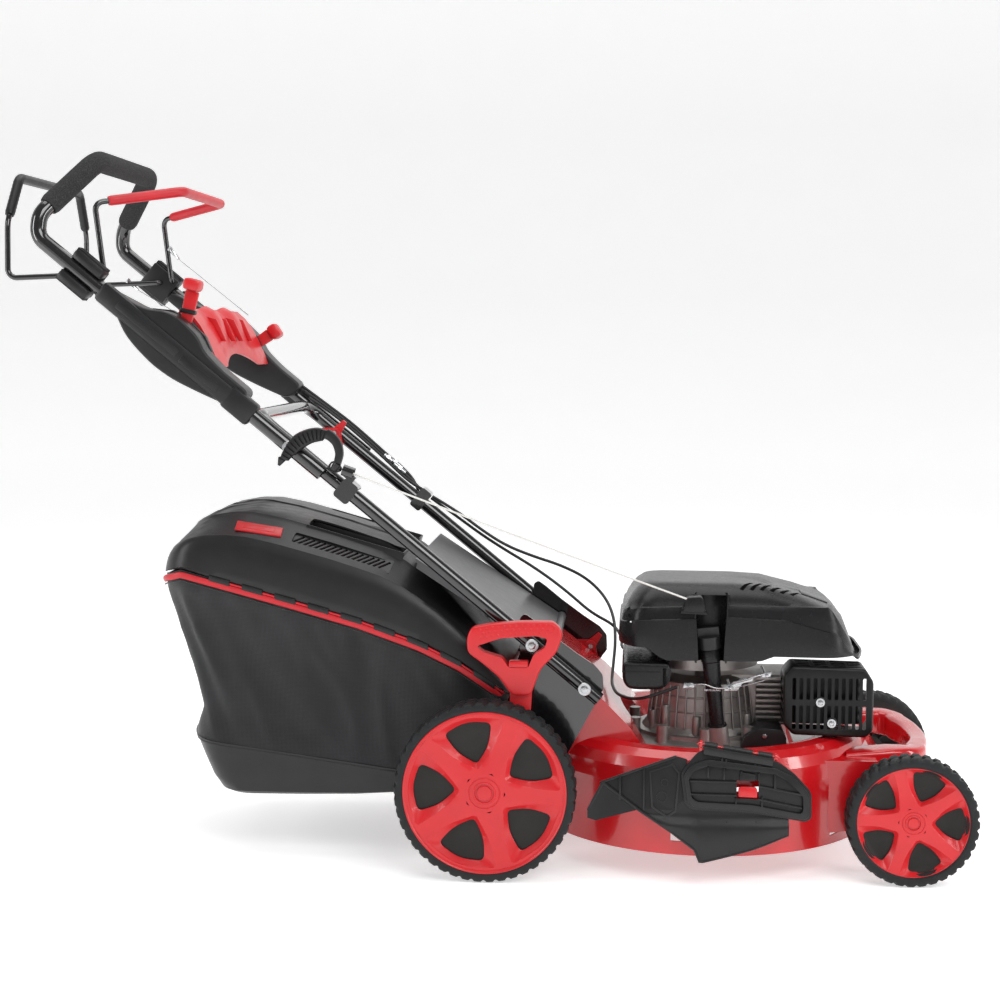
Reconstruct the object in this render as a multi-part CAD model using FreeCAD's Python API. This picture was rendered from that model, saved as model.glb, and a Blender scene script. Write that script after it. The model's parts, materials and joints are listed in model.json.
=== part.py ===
import FreeCAD, Part
import math
import os

# Self-propelled petrol lawn mower with a rear grass bag and a folding handle.
# Millimetres. +X is forward, +Y is the machine's left side, +Z is up.
# The origin is on the ground, under the middle of the machine's box.

# ---- driving dimensions -------------------------------------------------
REAR_WHEEL_R = 140.0
FRONT_WHEEL_R = 100.0
REAR_AXLE = (14.0, 140.0)
FRONT_AXLE = (664.0, 100.0)
REAR_TRACK_OUT = 290.0
FRONT_TRACK_OUT = 265.0
REAR_TYRE_W = 46.0
FRONT_TYRE_W = 44.0
AXLE_R = 8.0
RUNNING_GAP = 0.05

BLADE_X = 355.0
DECK_R = 272.0
DECK_BOTTOM = 45.0
DECK_SHELL = 3.0
TUNNEL_Y = 160.0
ENGINE_SEAT_R = 137.0
ENGINE_SEAT_Z = 156.0

HANDLE_FOOT = (188.0, 269.0)
HANDLE_ANGLE = math.radians(140.5)
LOWER_TUBE_R = 11.0
LOWER_TUBE_Y = 201.0
UPPER_TUBE_R = 12.5
UPPER_TUBE_Y = 225.0
FOLD_S = 621.0
CROSSBAR_S = 694.0
BAIL_ROD_R = 4.5
BAIL_Y = 199.0

FILLER_BASE = (377.0, -112.0, 190.0)
FILLER_TILT = (-17.0, -8.0, 157.0)
FLAP_HINGE = (112.0, 340.0)
LEVER_PIVOT = (60.0, 186.0)
BAG_Y = 200.0

os.makedirs("parts", exist_ok=True)


def vec(x, y, z):
    return FreeCAD.Vector(x, y, z)


Y_AXIS = vec(0, 1, 0)
Z_AXIS = vec(0, 0, 1)
ORIGIN = vec(0, 0, 0)


# ---- small building tools -----------------------------------------------
def save(name, shape):
    """Write one node's solids to its STEP file."""
    solids = shape.Solids
    if len(solids) == 1:
        shape = solids[0]
    else:
        shape = Part.makeCompound(solids)
    shape.exportStep("parts/" + name + ".step")


def fuse(shapes):
    return shapes[0].multiFuse(shapes[1:]).removeSplitter()


def largest(shape):
    """The main solid of a shape, without the crumbs that a cut leaves."""
    return max(shape.Solids, key=lambda solid: solid.Volume)


def rod(start, end, radius):
    """A round bar between two points."""
    along = end - start
    return Part.makeCylinder(radius, along.Length, start, along)


def rod_y(x, z, y_from, y_to, radius):
    return rod(vec(x, y_from, z), vec(x, y_to, z), radius)


def box(x_from, x_to, y_from, y_to, z_from, z_to):
    return Part.makeBox(x_to - x_from, y_to - y_from, z_to - z_from, vec(x_from, y_from, z_from))


def round_upright_edges(shape, radius):
    upright = [edge for edge in shape.Edges if abs(edge.tangentAt(edge.FirstParameter).z) > 0.9]
    return shape.makeFillet(radius, upright)


def mirrored(shape):
    """The same piece on the other side of the machine."""
    return shape.mirror(ORIGIN, Y_AXIS)


def arc_corner(before, corner, after, radius):
    """Tangent points and middle of the arc that rounds one corner."""
    to_before = (before - corner).normalize()
    to_after = (after - corner).normalize()
    half = to_before.getAngle(to_after) / 2
    reach = radius / math.tan(half)
    middle = (to_before + to_after).normalize()
    start = corner + to_before * reach
    end = corner + to_after * reach
    top = corner + middle * (radius / math.sin(half) - radius)
    return start, top, end


def path(points, radii):
    """Straight runs joined by tangent arcs, one radius for each inner point."""
    edges = []
    at = points[0]
    for index, radius in enumerate(radii):
        corner = points[index + 1]
        start, top, end = arc_corner(points[index], corner, points[index + 2], radius)
        edges.append(Part.LineSegment(at, start).toShape())
        edges.append(Part.Arc(start, top, end).toShape())
        at = end
    edges.append(Part.LineSegment(at, points[-1]).toShape())
    return Part.Wire(edges)


def pipe(points, radii, radius):
    """A round bar bent along a path."""
    spine = path(points, radii)
    circle = Part.Wire(Part.Circle(points[0], points[1] - points[0], radius).toShape())
    swept = spine.makePipeShell([circle], True, False)
    return swept if swept.ShapeType == "Solid" else swept.Solids[0]


def outline(points, radius):
    """A closed outline in the XZ plane; each corner is rounded, smaller where the sides are short."""
    corners = [vec(x, 0, z) for x, z in points]
    count = len(corners)
    edges = []
    ends = []
    for index in range(count):
        before = corners[index - 1]
        corner = corners[index]
        after = corners[(index + 1) % count]
        half = (before - corner).getAngle(after - corner) / 2
        room = 0.45 * min((before - corner).Length, (after - corner).Length)
        fitted = min(radius, room * math.tan(half))
        ends.append(arc_corner(before, corner, after, fitted))
    for index in range(count):
        start, top, end = ends[index]
        following = ends[(index + 1) % count][0]
        edges.append(Part.Arc(start, top, end).toShape())
        edges.append(Part.LineSegment(end, following).toShape())
    return Part.Wire(edges)


def sharp_outline(points):
    corners = [vec(x, 0, z) for x, z in points]
    return Part.makePolygon(corners + [corners[0]])


def slab(points, y_from, y_to, radius=0.0):
    """A plate cut to an outline in XZ and extruded along Y."""
    wire = outline(points, radius) if radius else sharp_outline(points)
    wire.translate(vec(0, y_from, 0))
    return Part.Face(wire).extrude(vec(0, y_to - y_from, 0))


def turned(points, centre, axis):
    """A lathe part: points are (radius, height along the axis) from the centre."""
    wire = Part.makePolygon([vec(r, 0, h) for r, h in points + [points[0]]])
    solid = Part.Face(wire).revolve(ORIGIN, Z_AXIS, 360)
    solid.Placement = FreeCAD.Placement(centre, FreeCAD.Rotation(Z_AXIS, axis))
    return solid


def handle_point(s, n=0.0):
    """A point in XZ: s along the handle from its foot, n above the tube's centre line."""
    along = (math.cos(HANDLE_ANGLE), math.sin(HANDLE_ANGLE))
    up = (math.sin(HANDLE_ANGLE), -math.cos(HANDLE_ANGLE))
    return (HANDLE_FOOT[0] + s * along[0] + n * up[0], HANDLE_FOOT[1] + s * along[1] + n * up[1])


def handle_vec(s, n, y):
    x, z = handle_point(s, n)
    return vec(x, y, z)


def handle_block(s_from, s_to, n_from, n_to, y_from, y_to, radius=4.0):
    """A block whose sides run along and across the handle."""
    corners = [(s_from, n_from), (s_to, n_from), (s_to, n_to), (s_from, n_to)]
    return slab([handle_point(s, n) for s, n in corners], y_from, y_to, radius)


# ---- wheels ---------------------------------------------------------------
def wheel_set(axle, radius, track_out, width, window_angle):
    """Tyre, rim and hub cover of a right-hand wheel; the axle's way out is -Y."""
    outward = vec(0, -1, 0)
    centre = vec(axle[0], 0, axle[1])
    inner = track_out - width
    face_r = radius - 13.0
    seat_r = radius - 20.0
    tyre_points = [
        (face_r, inner), (radius - 4, inner), (radius, inner + 6), (radius, track_out - 6),
        (radius - 4, track_out), (face_r, track_out), (face_r, track_out - 8),
        (seat_r, track_out - 8), (seat_r, inner + 6), (face_r, inner + 6),
    ]
    tyre = turned(tyre_points, centre, outward)

    bore = AXLE_R + RUNNING_GAP
    hub_r = 22.0
    web_face = track_out - 9.0
    drum_r = seat_r - 5.0
    rim_points = [
        (bore, inner + 2), (hub_r, inner + 2), (hub_r, web_face - 6), (drum_r, web_face - 6),
        (drum_r, inner + 2), (face_r, inner), (face_r, inner + 6), (seat_r, inner + 6),
        (seat_r, track_out - 9), (bore, web_face),
    ]
    rim = turned(rim_points, centre, outward)

    cover_points = [
        (0, web_face), (seat_r, web_face), (seat_r, track_out - 8), (face_r, track_out - 8),
        (face_r, track_out - 1), (face_r - 9, track_out), (0.72 * radius, track_out - 4),
        (0.3 * radius, track_out - 4), (0.2 * radius, track_out - 2), (0.15 * radius, track_out - 2),
        (0.14 * radius, track_out - 3), (0.12 * radius, track_out - 3), (0.11 * radius, track_out - 1),
        (0, track_out - 1),
    ]
    cover = turned(cover_points, centre, outward)
    for turn in range(5):
        angle = math.radians(window_angle + 72 * turn)
        cover = cover.cut(wheel_window(axle, radius, track_out, angle))
    return tyre, rim, cover


def wheel_window(axle, radius, track_out, angle):
    """One rounded three-cornered window of a hub cover."""
    corners = [(0.31, -0.10), (0.31, 0.10), (0.77, 0.33), (0.81, 0.0), (0.77, -0.33)]
    points = []
    for reach, spread in corners:
        x = axle[0] + reach * radius * math.cos(angle + spread)
        z = axle[1] + reach * radius * math.sin(angle + spread)
        points.append((x, z))
    return slab(points, -track_out - 1, -track_out + 20, 9.0)


def build_wheels():
    rear = wheel_set(REAR_AXLE, REAR_WHEEL_R, REAR_TRACK_OUT, REAR_TYRE_W, 33.0)
    front = wheel_set(FRONT_AXLE, FRONT_WHEEL_R, FRONT_TRACK_OUT, FRONT_TYRE_W, -2.0)
    for place, pieces in (("rear", rear), ("front", front)):
        for kind, piece in zip(("tyre", "wheel", "hub_cover"), pieces):
            save(kind + "_" + place + "_right", piece)
            save(kind + "_" + place + "_left", mirrored(piece))


# ---- axles and height adjustment ------------------------------------------
REAR_PIVOT = (74.0, 150.0)
FRONT_PIVOT = (604.0, 112.0)
REAR_ARM_Y = 224.0
FRONT_ARM_Y = 205.0
PIVOT_R = 7.0


def crank_arm(pivot, axle, y_from, y_to):
    """A flat arm from the height pivot to the axle."""
    dx = axle[0] - pivot[0]
    dz = axle[1] - pivot[1]
    length = math.hypot(dx, dz)
    side = (-dz / length * 15, dx / length * 15)
    corners = [
        (pivot[0] + side[0], pivot[1] + side[1]), (axle[0] + side[0], axle[1] + side[1]),
        (axle[0] - side[0], axle[1] - side[1]), (pivot[0] - side[0], pivot[1] - side[1]),
    ]
    web = slab(corners, y_from, y_to)
    ends = [rod_y(pivot[0], pivot[1], y_from, y_to, 15), rod_y(axle[0], axle[1], y_from, y_to, 15)]
    return fuse([web] + ends)


def build_rear_axle():
    reach = REAR_TRACK_OUT - 11.0
    pieces = [rod_y(REAR_AXLE[0], REAR_AXLE[1], -reach, reach, AXLE_R)]
    for side in (-1, 1):
        arm_in = side * (REAR_ARM_Y - 6)
        arm_out = side * (REAR_ARM_Y + 2)
        low, high = min(arm_in, arm_out), max(arm_in, arm_out)
        pieces.append(crank_arm(REAR_PIVOT, REAR_AXLE, low, high))
        pieces.append(rod_y(REAR_PIVOT[0], REAR_PIVOT[1], side * (TUNNEL_Y - 2), arm_out, PIVOT_R))
        pieces.append(rod_y(REAR_AXLE[0], REAR_AXLE[1], arm_out, side * 243, 14))
    save("rear_axle", fuse(pieces))

    x, z = REAR_AXLE
    case = slab([(x - 24, z - 30), (x + 26, z - 30), (x + 26, z - 6), (x + 10, z + 14),
                 (x - 12, z + 14), (x - 24, z)], -38, 38, 8.0)
    snout = Part.makeCylinder(17, 14, vec(x + 6, 0, z - 44), Z_AXIS)
    pulley = turned([(0, -8), (24, -8), (19, -4), (24, 0), (0, 0)], vec(x + 6, 0, z - 44), Z_AXIS)
    shaft_hole = rod_y(x, z, -60, 60, AXLE_R)
    save("gearbox", fuse([case, snout, pulley]).cut(shaft_hole))


def build_front_axle():
    reach = FRONT_TRACK_OUT - 11.0
    pieces = [rod_y(FRONT_AXLE[0], FRONT_AXLE[1], -reach, reach, AXLE_R)]
    for side in (-1, 1):
        arm_in = side * (FRONT_ARM_Y - 4)
        arm_out = side * (FRONT_ARM_Y + 4)
        low, high = min(arm_in, arm_out), max(arm_in, arm_out)
        pieces.append(crank_arm(FRONT_PIVOT, FRONT_AXLE, low, high))
        pieces.append(rod_y(FRONT_PIVOT[0], FRONT_PIVOT[1], side * 176, arm_in, PIVOT_R))
        pieces.append(rod_y(FRONT_AXLE[0], FRONT_AXLE[1], arm_out, side * 220, 13))
    save("front_axle", fuse(pieces))


def build_height_lever():
    """Side lever: a D-shaped grip on a stem that turns on a stud of the right bracket."""
    grip = slab([(-17, 372), (-10, 386), (21, 392), (67, 397), (120, 397), (131, 376), (122, 350),
                 (97, 324), (82, 282), (52, 282), (33, 310), (6, 333), (-16, 348)], -243.5, -222, 10.0)
    window = slab([(-2, 360), (36, 372), (90, 375), (112, 372), (106, 359), (85, 346), (74, 322),
                   (50, 322), (37, 341), (8, 350)], -250, -210, 6.0)
    stem = slab([(54, 288), (80, 288), (73, 180), (47, 180)], -234, -228, 3.0)
    hub = rod_y(LEVER_PIVOT[0], LEVER_PIVOT[1], -236, -227, 17)
    bore = rod_y(LEVER_PIVOT[0], LEVER_PIVOT[1], -250, -200, 6 + RUNNING_GAP)
    save("height_lever", fuse([grip.cut(window), stem, hub]).cut(bore))


# ---- deck -------------------------------------------------------------------
def deck_bowl(inset):
    """The round cutting chamber; inset makes the smaller solid that hollows it."""
    rim = DECK_R - inset
    bottom = DECK_BOTTOM - inset
    seat = ENGINE_SEAT_Z - inset
    points = [
        (0, bottom), (rim, bottom), (rim, 150), (rim - 3, 174 - inset), (rim - 12, 190 - inset),
        (rim - 28, 199 - inset), (rim - 48, 201 - inset), (rim - 68, 196 - inset),
        (rim - 88, 180 - inset), (ENGINE_SEAT_R + 18, seat + 4), (ENGINE_SEAT_R + 6, seat), (0, seat),
    ]
    return turned(points, vec(BLADE_X, 0, 0), Z_AXIS)


def engine_seat(inset):
    """The round well that the engine stands in."""
    return Part.makeCylinder(ENGINE_SEAT_R + inset, 200, vec(BLADE_X, 0, ENGINE_SEAT_Z - inset), Z_AXIS)


def tunnel_block(inset):
    """The chute from the chamber up to the bag; its rear end is its mouth."""
    y = TUNNEL_Y - inset
    back = 30 if inset else 0
    points = [(FLAP_HINGE[0] - 8 - back, FLAP_HINGE[1] - 10 - inset + back * 0.75), (191, 262 - inset),
              (236, 216 - inset), (262, 176 - inset), (262, 62 + inset), (190, 62 + inset),
              (62 - back, 200 + inset + back * 0.3), (50 - back, 288 + back * 0.5)]
    return slab(points, -y, y).cut(engine_seat(inset))


def nose_block(inset):
    """The flat front of the deck, between the front wheels."""
    y = 196 - inset
    bottom = 57 - inset * 2
    top = 178 - inset
    points = [(500, bottom), (640 - inset, bottom + 20), (648 - inset, 150), (618, top), (500, top)]
    return slab(points, -y, y)


def build_deck():
    outer = fuse([deck_bowl(0), tunnel_block(0), nose_block(0)])
    inner = fuse([deck_bowl(DECK_SHELL), tunnel_block(DECK_SHELL), nose_block(DECK_SHELL)])
    shell = outer.cut(inner)
    chute_mouth = box(298, 452, -290, -225, 66, 152)
    crank_hole = Part.makeCylinder(40, 60, vec(BLADE_X, 0, 120), Z_AXIS)
    shell = shell.cut(chute_mouth).cut(crank_hole)
    additions = hinge_lugs()
    for side in (-1, 1):
        wall = side * (TUNNEL_Y - 1.5)
        web = [(64, 198), (96, 164), (96, 134), (60, 134), (58, 196)]
        additions.append(slab(web, wall - 1.5, wall + 1.5))
        additions.append(rod_y(REAR_PIVOT[0], REAR_PIVOT[1], side * (TUNNEL_Y - 3), side * 216, 13))
        additions.append(rod_y(FRONT_PIVOT[0], FRONT_PIVOT[1], side * 193, side * 200, 13))
    shell = fuse([shell] + additions)
    for side in (-1, 1):
        bore = PIVOT_R + RUNNING_GAP
        shell = shell.cut(rod_y(REAR_PIVOT[0], REAR_PIVOT[1], side * 150, side * 230, bore))
        shell = shell.cut(rod_y(FRONT_PIVOT[0], FRONT_PIVOT[1], side * 170, side * 220, bore))
    save("deck_shell", shell)


def build_front_bumper():
    """Carrying loop on the deck's nose, sloping down to the front."""
    loop = slab([(560, 180), (600, 186), (640, 212), (662, 210), (700, 192), (722, 172), (722, 150),
                 (700, 142), (651, 150), (651, 181)], -168, 168, 6.0)
    plan = Part.makeBox(400, 500, 400, vec(560, -250, 0))
    rounder = Part.makeCylinder(340, 400, vec(384, 0, 0), Z_AXIS)
    loop = loop.common(plan).common(rounder)
    hole = slab([(604, 240), (604, 190), (654, 140), (654, 100), (700, 100), (700, 240)], -112, 112)
    hole = hole.common(Part.makeCylinder(300, 400, vec(384, 0, 0), Z_AXIS))
    save("front_bumper", loop.cut(hole).cut(nose_block(0)).cut(deck_bowl(0)))


FLAP_TILT = -5.0
FLAP_FOOT = (0.0, -289.0, 105.0)
SIDE_HINGE_FROM = (346.0, -270.5, 218.0)
SIDE_HINGE_TO = (452.0, -270.5, 201.0)
HINGE_PIN_R = 2.0


def leaned(shape):
    """Lean an upright side part in against the deck."""
    shape.rotate(vec(*FLAP_FOOT), vec(1, 0, 0), FLAP_TILT)
    return shape


def hinge_lugs():
    """The pin of the side flap and the two deck lugs that hold it."""
    start, end = vec(*SIDE_HINGE_FROM), vec(*SIDE_HINGE_TO)
    along = (end - start).normalize()
    pieces = [rod(start - along * 9, end + along * 9, HINGE_PIN_R)]
    for point, step in ((start, -1), (end, 1)):
        near = point + along * (step * 2)
        far = point + along * (step * 6)
        pieces.append(rod(near, far, 6))
        x_low, x_high = min(near.x, far.x), max(near.x, far.x)
        pieces.append(box(x_low, x_high, -274, -262, 180, near.z))
    return pieces


def build_side_discharge():
    """Flap, chute and latch on the right side of the deck."""
    flap = slab([(312, 176), (318, 128), (330, 120), (420, 117), (500, 105), (509, 110), (509, 150),
                 (483, 178), (458, 196), (350, 213), (338, 208), (322, 190)], -289, -284, 6.0)
    border = slab([(316, 172), (322, 134), (334, 126), (420, 123), (497, 111), (503, 118), (503, 146),
                   (478, 172), (456, 184), (352, 196), (326, 186)], -290, -283.5, 5.0)
    field = slab([(324, 168), (329, 138), (338, 133), (420, 131), (492, 119), (495, 122), (495, 143),
                  (474, 165), (454, 176), (354, 187), (332, 180)], -291, -285.5, 4.0)
    ribs = [box(x, x + 3, -289, -284, 126, 184) for x in (360, 445)]
    latch_slot = box(397, 429, -292, -282, 139, 166)
    flap = leaned(fuse([flap.cut(field), border.cut(field)] + ribs).cut(latch_slot))
    start, end = vec(*SIDE_HINGE_FROM), vec(*SIDE_HINGE_TO)
    along = (end - start).normalize()
    barrel = rod(start, end, 5)
    leaf_points = [vec(start.x, 0, start.z), vec(end.x, 0, end.z), vec(end.x, 0, end.z - 12),
                   vec(start.x, 0, start.z - 12)]
    leaf = slab([(p.x, p.z) for p in leaf_points], -282, -272)
    flap = fuse([flap, barrel, leaf])
    flap = flap.cut(rod(start - along * 20, end + along * 20, HINGE_PIN_R + RUNNING_GAP))
    save("side_flap", flap)

    wing = slab([(168, 99), (168, 130), (184, 154), (262, 165), (300, 158), (300, 92), (258, 92)],
                -283, -279, 4.0)
    tongue = slab([(262, 165), (302, 165), (310, 112), (352, 70), (486, 86), (494, 112), (498, 84),
                   (352, 40), (340, 36), (338, 62), (258, 92), (230, 100)], -283, -279)
    save("side_chute", leaned(fuse([wing, tongue])))
    save("side_latch", leaned(box(399, 427, -290, -282, 141, 157)))


# ---- handle ----------------------------------------------------------------
BOLT_R = 4.0
LOWER_BOLT_S = (31.0, 137.0)


def build_brackets():
    plate = slab([(62, 396), (70, 402), (84, 392), (112, 369), (150, 341), (180, 321), (192, 306),
                  (193, 284), (173, 247), (150, 204), (135, 176), (95, 192), (74, 240), (62, 300)],
                 -189, -186, 8.0)
    foot = slab([(96, 196), (124, 178), (146, 196), (146, 232), (96, 232)], -186, -TUNNEL_Y)
    stud = rod_y(LEVER_PIVOT[0], LEVER_PIVOT[1], -238, -190, 6)
    arm = slab([(46, 198), (74, 174), (100, 196), (100, 226)], -190, -186, 5.0)
    plate = fuse([plate, foot])
    for s in LOWER_BOLT_S:
        x, z = handle_point(s)
        plate = plate.cut(rod_y(x, z, -195, -183, BOLT_R))
    right = fuse([plate, arm, stud])
    left = mirrored(plate)
    save("handle_brackets", Part.makeCompound([right, left] + tube_fittings()))


def build_lower_handle():
    """U-shaped tube with its crossbar at the top."""
    reach = LOWER_TUBE_Y
    points = [
        handle_vec(2, 0, -reach), handle_vec(CROSSBAR_S, 0, -reach), handle_vec(CROSSBAR_S, 0, reach),
        handle_vec(2, 0, reach),
    ]
    outer = pipe(points, [34, 34], LOWER_TUBE_R)
    bore = pipe(points, [34, 34], LOWER_TUBE_R - 1.5)
    tube = outer.cut(bore)
    for s in LOWER_BOLT_S + (FOLD_S,):
        x, z = handle_point(s)
        tube = tube.cut(rod_y(x, z, -240, 240, BOLT_R))
    save("lower_handle", tube)


def tri_lobe_knob(x, z, y_face, y_back, stud_r):
    """A hand knob with three arms, turning about Y."""
    body = rod_y(x, z, y_face, y_back, 9)
    arms = []
    for turn in range(3):
        angle = math.radians(50 + 120 * turn)
        dx, dz = math.cos(angle), math.sin(angle)
        corners = [(x - 9 * dz, z + 9 * dx), (x + 26 * dx - 4 * dz, z + 26 * dz + 4 * dx),
                   (x + 26 * dx + 4 * dz, z + 26 * dz - 4 * dx), (x + 9 * dz, z - 9 * dx)]
        arms.append(slab(corners, y_face, y_face + 8, 2.0))
    knob = fuse([body] + arms)
    return knob.cut(rod_y(x, z, y_face - 30, y_back + 30, stud_r + RUNNING_GAP))


def bolt_y(x, z, y_head, y_tip, head_h, shank_r):
    """A round-headed bolt whose head faces outwards (-Y)."""
    head = rod_y(x, z, y_head, y_head + head_h, shank_r * 2.2)
    shank = rod_y(x, z, y_head, y_tip, shank_r)
    return fuse([head, shank])


UPPER_BOLT_TIP = -164.0
LOWER_BOLT_TIP = -162.0
ROPE_EYE = (528.0, 27.0, -222.0)
EYE_AXIS = vec(-1, 0, 0.36).normalize()


def build_handle_joints():
    """Bolts of the lower handle and its four hand knobs."""
    fold_x, fold_z = handle_point(FOLD_S)
    low_x, low_z = handle_point(LOWER_BOLT_S[0])
    high_x, high_z = handle_point(LOWER_BOLT_S[1])
    fold_bolt = bolt_y(fold_x, fold_z, -241.5, UPPER_BOLT_TIP, 3.9, BOLT_R)
    low_bolt = bolt_y(low_x, low_z, -216.4, LOWER_BOLT_TIP, 4.4, BOLT_R)
    high_bolt = bolt_y(high_x, high_z, -216.4, -184, 4.4, BOLT_R)
    solids = []
    for bolt in (fold_bolt, low_bolt, high_bolt):
        solids.extend([bolt, mirrored(bolt)])
    save("handle_hardware", Part.makeCompound(solids))

    fold_knob = tri_lobe_knob(fold_x, fold_z, -188, -172, BOLT_R)
    low_knob = tri_lobe_knob(low_x, low_z, -184, -168, BOLT_R)
    save("fold_knob_right", fold_knob)
    save("fold_knob_left", mirrored(fold_knob))
    save("handle_knob_right", low_knob)
    save("handle_knob_left", mirrored(low_knob))


def tube_fittings():
    """The rope guide on the right tube and the cable clip on the left one."""
    clamp = handle_block(498, 526, -17, 17, -219, -187, 6.0)
    arm = handle_block(512, 530, 17, 27, -226, -212, 2.0)
    centre = handle_vec(*ROPE_EYE)
    eye = rod(centre - EYE_AXIS * 9, centre + EYE_AXIS * 9, 9)
    guide = fuse([clamp, arm, eye]).cut(rod(centre - EYE_AXIS * 30, centre + EYE_AXIS * 30, 6))
    tube = rod(handle_vec(480, 0, -LOWER_TUBE_Y), handle_vec(560, 0, -LOWER_TUBE_Y), LOWER_TUBE_R)
    guide = largest(guide.cut(tube))
    clip = handle_block(418, 440, -15, 24, 187, 217, 5.0)
    clip = clip.cut(rod(handle_vec(400, 0, LOWER_TUBE_Y), handle_vec(460, 0, LOWER_TUBE_Y), LOWER_TUBE_R))
    return [guide, largest(clip)]


def upper_tube_points():
    """Half of the upper loop, from its lower end on the right to the grip's right corner."""
    return [handle_vec(557, 0, -UPPER_TUBE_Y), vec(-684, -UPPER_TUBE_Y, 988), vec(-681, -221, 1022),
            vec(-611, -150, 1110)]


def build_upper_handle():
    half = upper_tube_points()
    points = half + [vec(p.x, -p.y, p.z) for p in reversed(half)]
    radii = [28, 36, 40, 40, 36, 28]
    outer = pipe(points, radii, UPPER_TUBE_R)
    bore = pipe(points, radii, UPPER_TUBE_R - 1.5)
    tube = outer.cut(bore)
    fold_x, fold_z = handle_point(FOLD_S)
    tube = tube.cut(rod_y(fold_x, fold_z, -260, 260, 4 + RUNNING_GAP))
    save("upper_handle", tube)

    toward = (points[3] - points[2]).normalize()
    grip_start = points[2] + toward * 20
    grip_end = vec(grip_start.x, -grip_start.y, grip_start.z)
    grip_points = [grip_start, points[3], points[4], grip_end]
    sleeve = pipe(grip_points, [40, 40], 17)
    save("foam_grip", sleeve.cut(pipe(grip_points, [40, 40], UPPER_TUBE_R)))
    return outer


DRIVE_PIVOT = (-610.0, 930.0)
BRAKE_PIVOT = (-588.0, 932.0)
LEVER_AXIS = (-475.0, 795.0)


def build_bail_pivots(tube):
    """A moulded clamp on each side of the upper handle, with the two bail bearings."""
    over = handle_block(1011, 1067, 11, 29, -240, -210, 7.0)
    under = handle_block(1011, 1067, -29, -11, -240, -210, 7.0)
    plate = handle_block(1011, 1067, -26, 26, -212.4, -206, 5.0)
    body = fuse([over, under, plate])
    hole_r = BAIL_ROD_R + RUNNING_GAP
    for x, z in (DRIVE_PIVOT, BRAKE_PIVOT):
        body = body.cut(rod_y(x, z, -213, -200, hole_r))
    body = body.cut(tube)
    save("bail_pivots", Part.makeCompound([body.Solids[0], mirrored(body.Solids[0])]))


def build_bails():
    def bail(half, radii, grip_half, grip_radii, grip_r):
        points = half + [vec(p.x, -p.y, p.z) for p in reversed(half)]
        frame = pipe(points, radii + radii[::-1], BAIL_ROD_R)
        grip_points = grip_half + [vec(p.x, -p.y, p.z) for p in reversed(grip_half)]
        all_radii = grip_radii + grip_radii[::-1]
        sleeve = pipe(grip_points, all_radii, grip_r).cut(pipe(grip_points, all_radii, BAIL_ROD_R))
        return frame, sleeve

    px, pz = DRIVE_PIVOT
    low = [vec(px, -212.2, pz), vec(px, -BAIL_Y, pz), vec(-742, -BAIL_Y, 925), vec(-741, -197, 1012),
           vec(-737, -150, 1084)]
    start = low[3] + (low[4] - low[3]).normalize() * 14
    frame, grip = bail(low, [7, 14, 40, 22], [start, low[4]], [22], 8)
    save("drive_bail", frame)
    save("drive_bail_grip", grip)

    px, pz = BRAKE_PIVOT
    low = [vec(px, -212.2, pz), vec(px, -BAIL_Y, pz), vec(-601, -BAIL_Y, 1041), vec(-479, -130, 1063)]
    start = low[2] + (low[3] - low[2]).normalize() * 22
    frame, grip = bail(low, [7, 14, 20], [start, low[3]], [20], 8)
    save("brake_bail", frame)
    save("brake_bail_grip", grip)


def build_console(tube):
    """Two side shells on the upper tubes, the bridge between them and the two control levers."""
    shape = [(-598, 902), (-582, 912), (-514, 876), (-482, 873), (-460, 862), (-432, 834), (-422, 810),
             (-395, 782), (-351, 746), (-377, 723), (-416, 740), (-446, 754), (-474, 768), (-505, 790),
             (-532, 818), (-548, 839), (-563, 873)]
    shell = slab(shape, -241, -186, 8.0)
    centre_x = sum(x for x, z in shape) / len(shape)
    centre_z = sum(z for x, z in shape) / len(shape)
    smaller = [(centre_x + 0.95 * (x - centre_x), centre_z + 0.93 * (z - centre_z)) for x, z in shape]
    hollow = slab(smaller, -238, -180, 6.0)
    x, z = LEVER_AXIS
    boss = rod_y(x, z, -239, -198, 9)
    shell = fuse([shell.cut(hollow), boss]).cut(rod_y(x, z, -212, -190, 4 + RUNNING_GAP))
    swing = Part.makeCylinder(130, 12, vec(x, -198, z), Y_AXIS)
    upper_side = slab([(x - 40, z), (x + 180, z - 30), (x + 180, z + 200), (x - 40, z + 200)], -198, -186)
    shell = shell.cut(swing.common(upper_side))
    shell = shell.cut(tube)
    right = largest(shell)
    save("console_right", right)
    save("console_left", mirrored(right))

    cover = slab([(-466, 882), (-440, 854), (-414, 797), (-430, 790), (-452, 838), (-478, 872)],
                 -185.5, 185.5, 4.0)
    ridges = [slab([(-470, 878), (-444, 866), (-416, 812), (-412, 792), (-430, 795), (-452, 838)],
                   y - 10, y + 10, 3.0) for y in (-70, 70)]
    arch = rod(vec(-380, 0, 735), vec(-470, 0, 800), 70)
    save("console_cover", fuse([cover] + ridges).cut(arch))

    for name, side, angle, length in (("throttle_lever", -1, 77, 122), ("speed_lever", 1, 33, 88)):
        lever = control_lever(math.radians(angle), length)
        save(name, lever if side < 0 else mirrored(lever))


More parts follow.
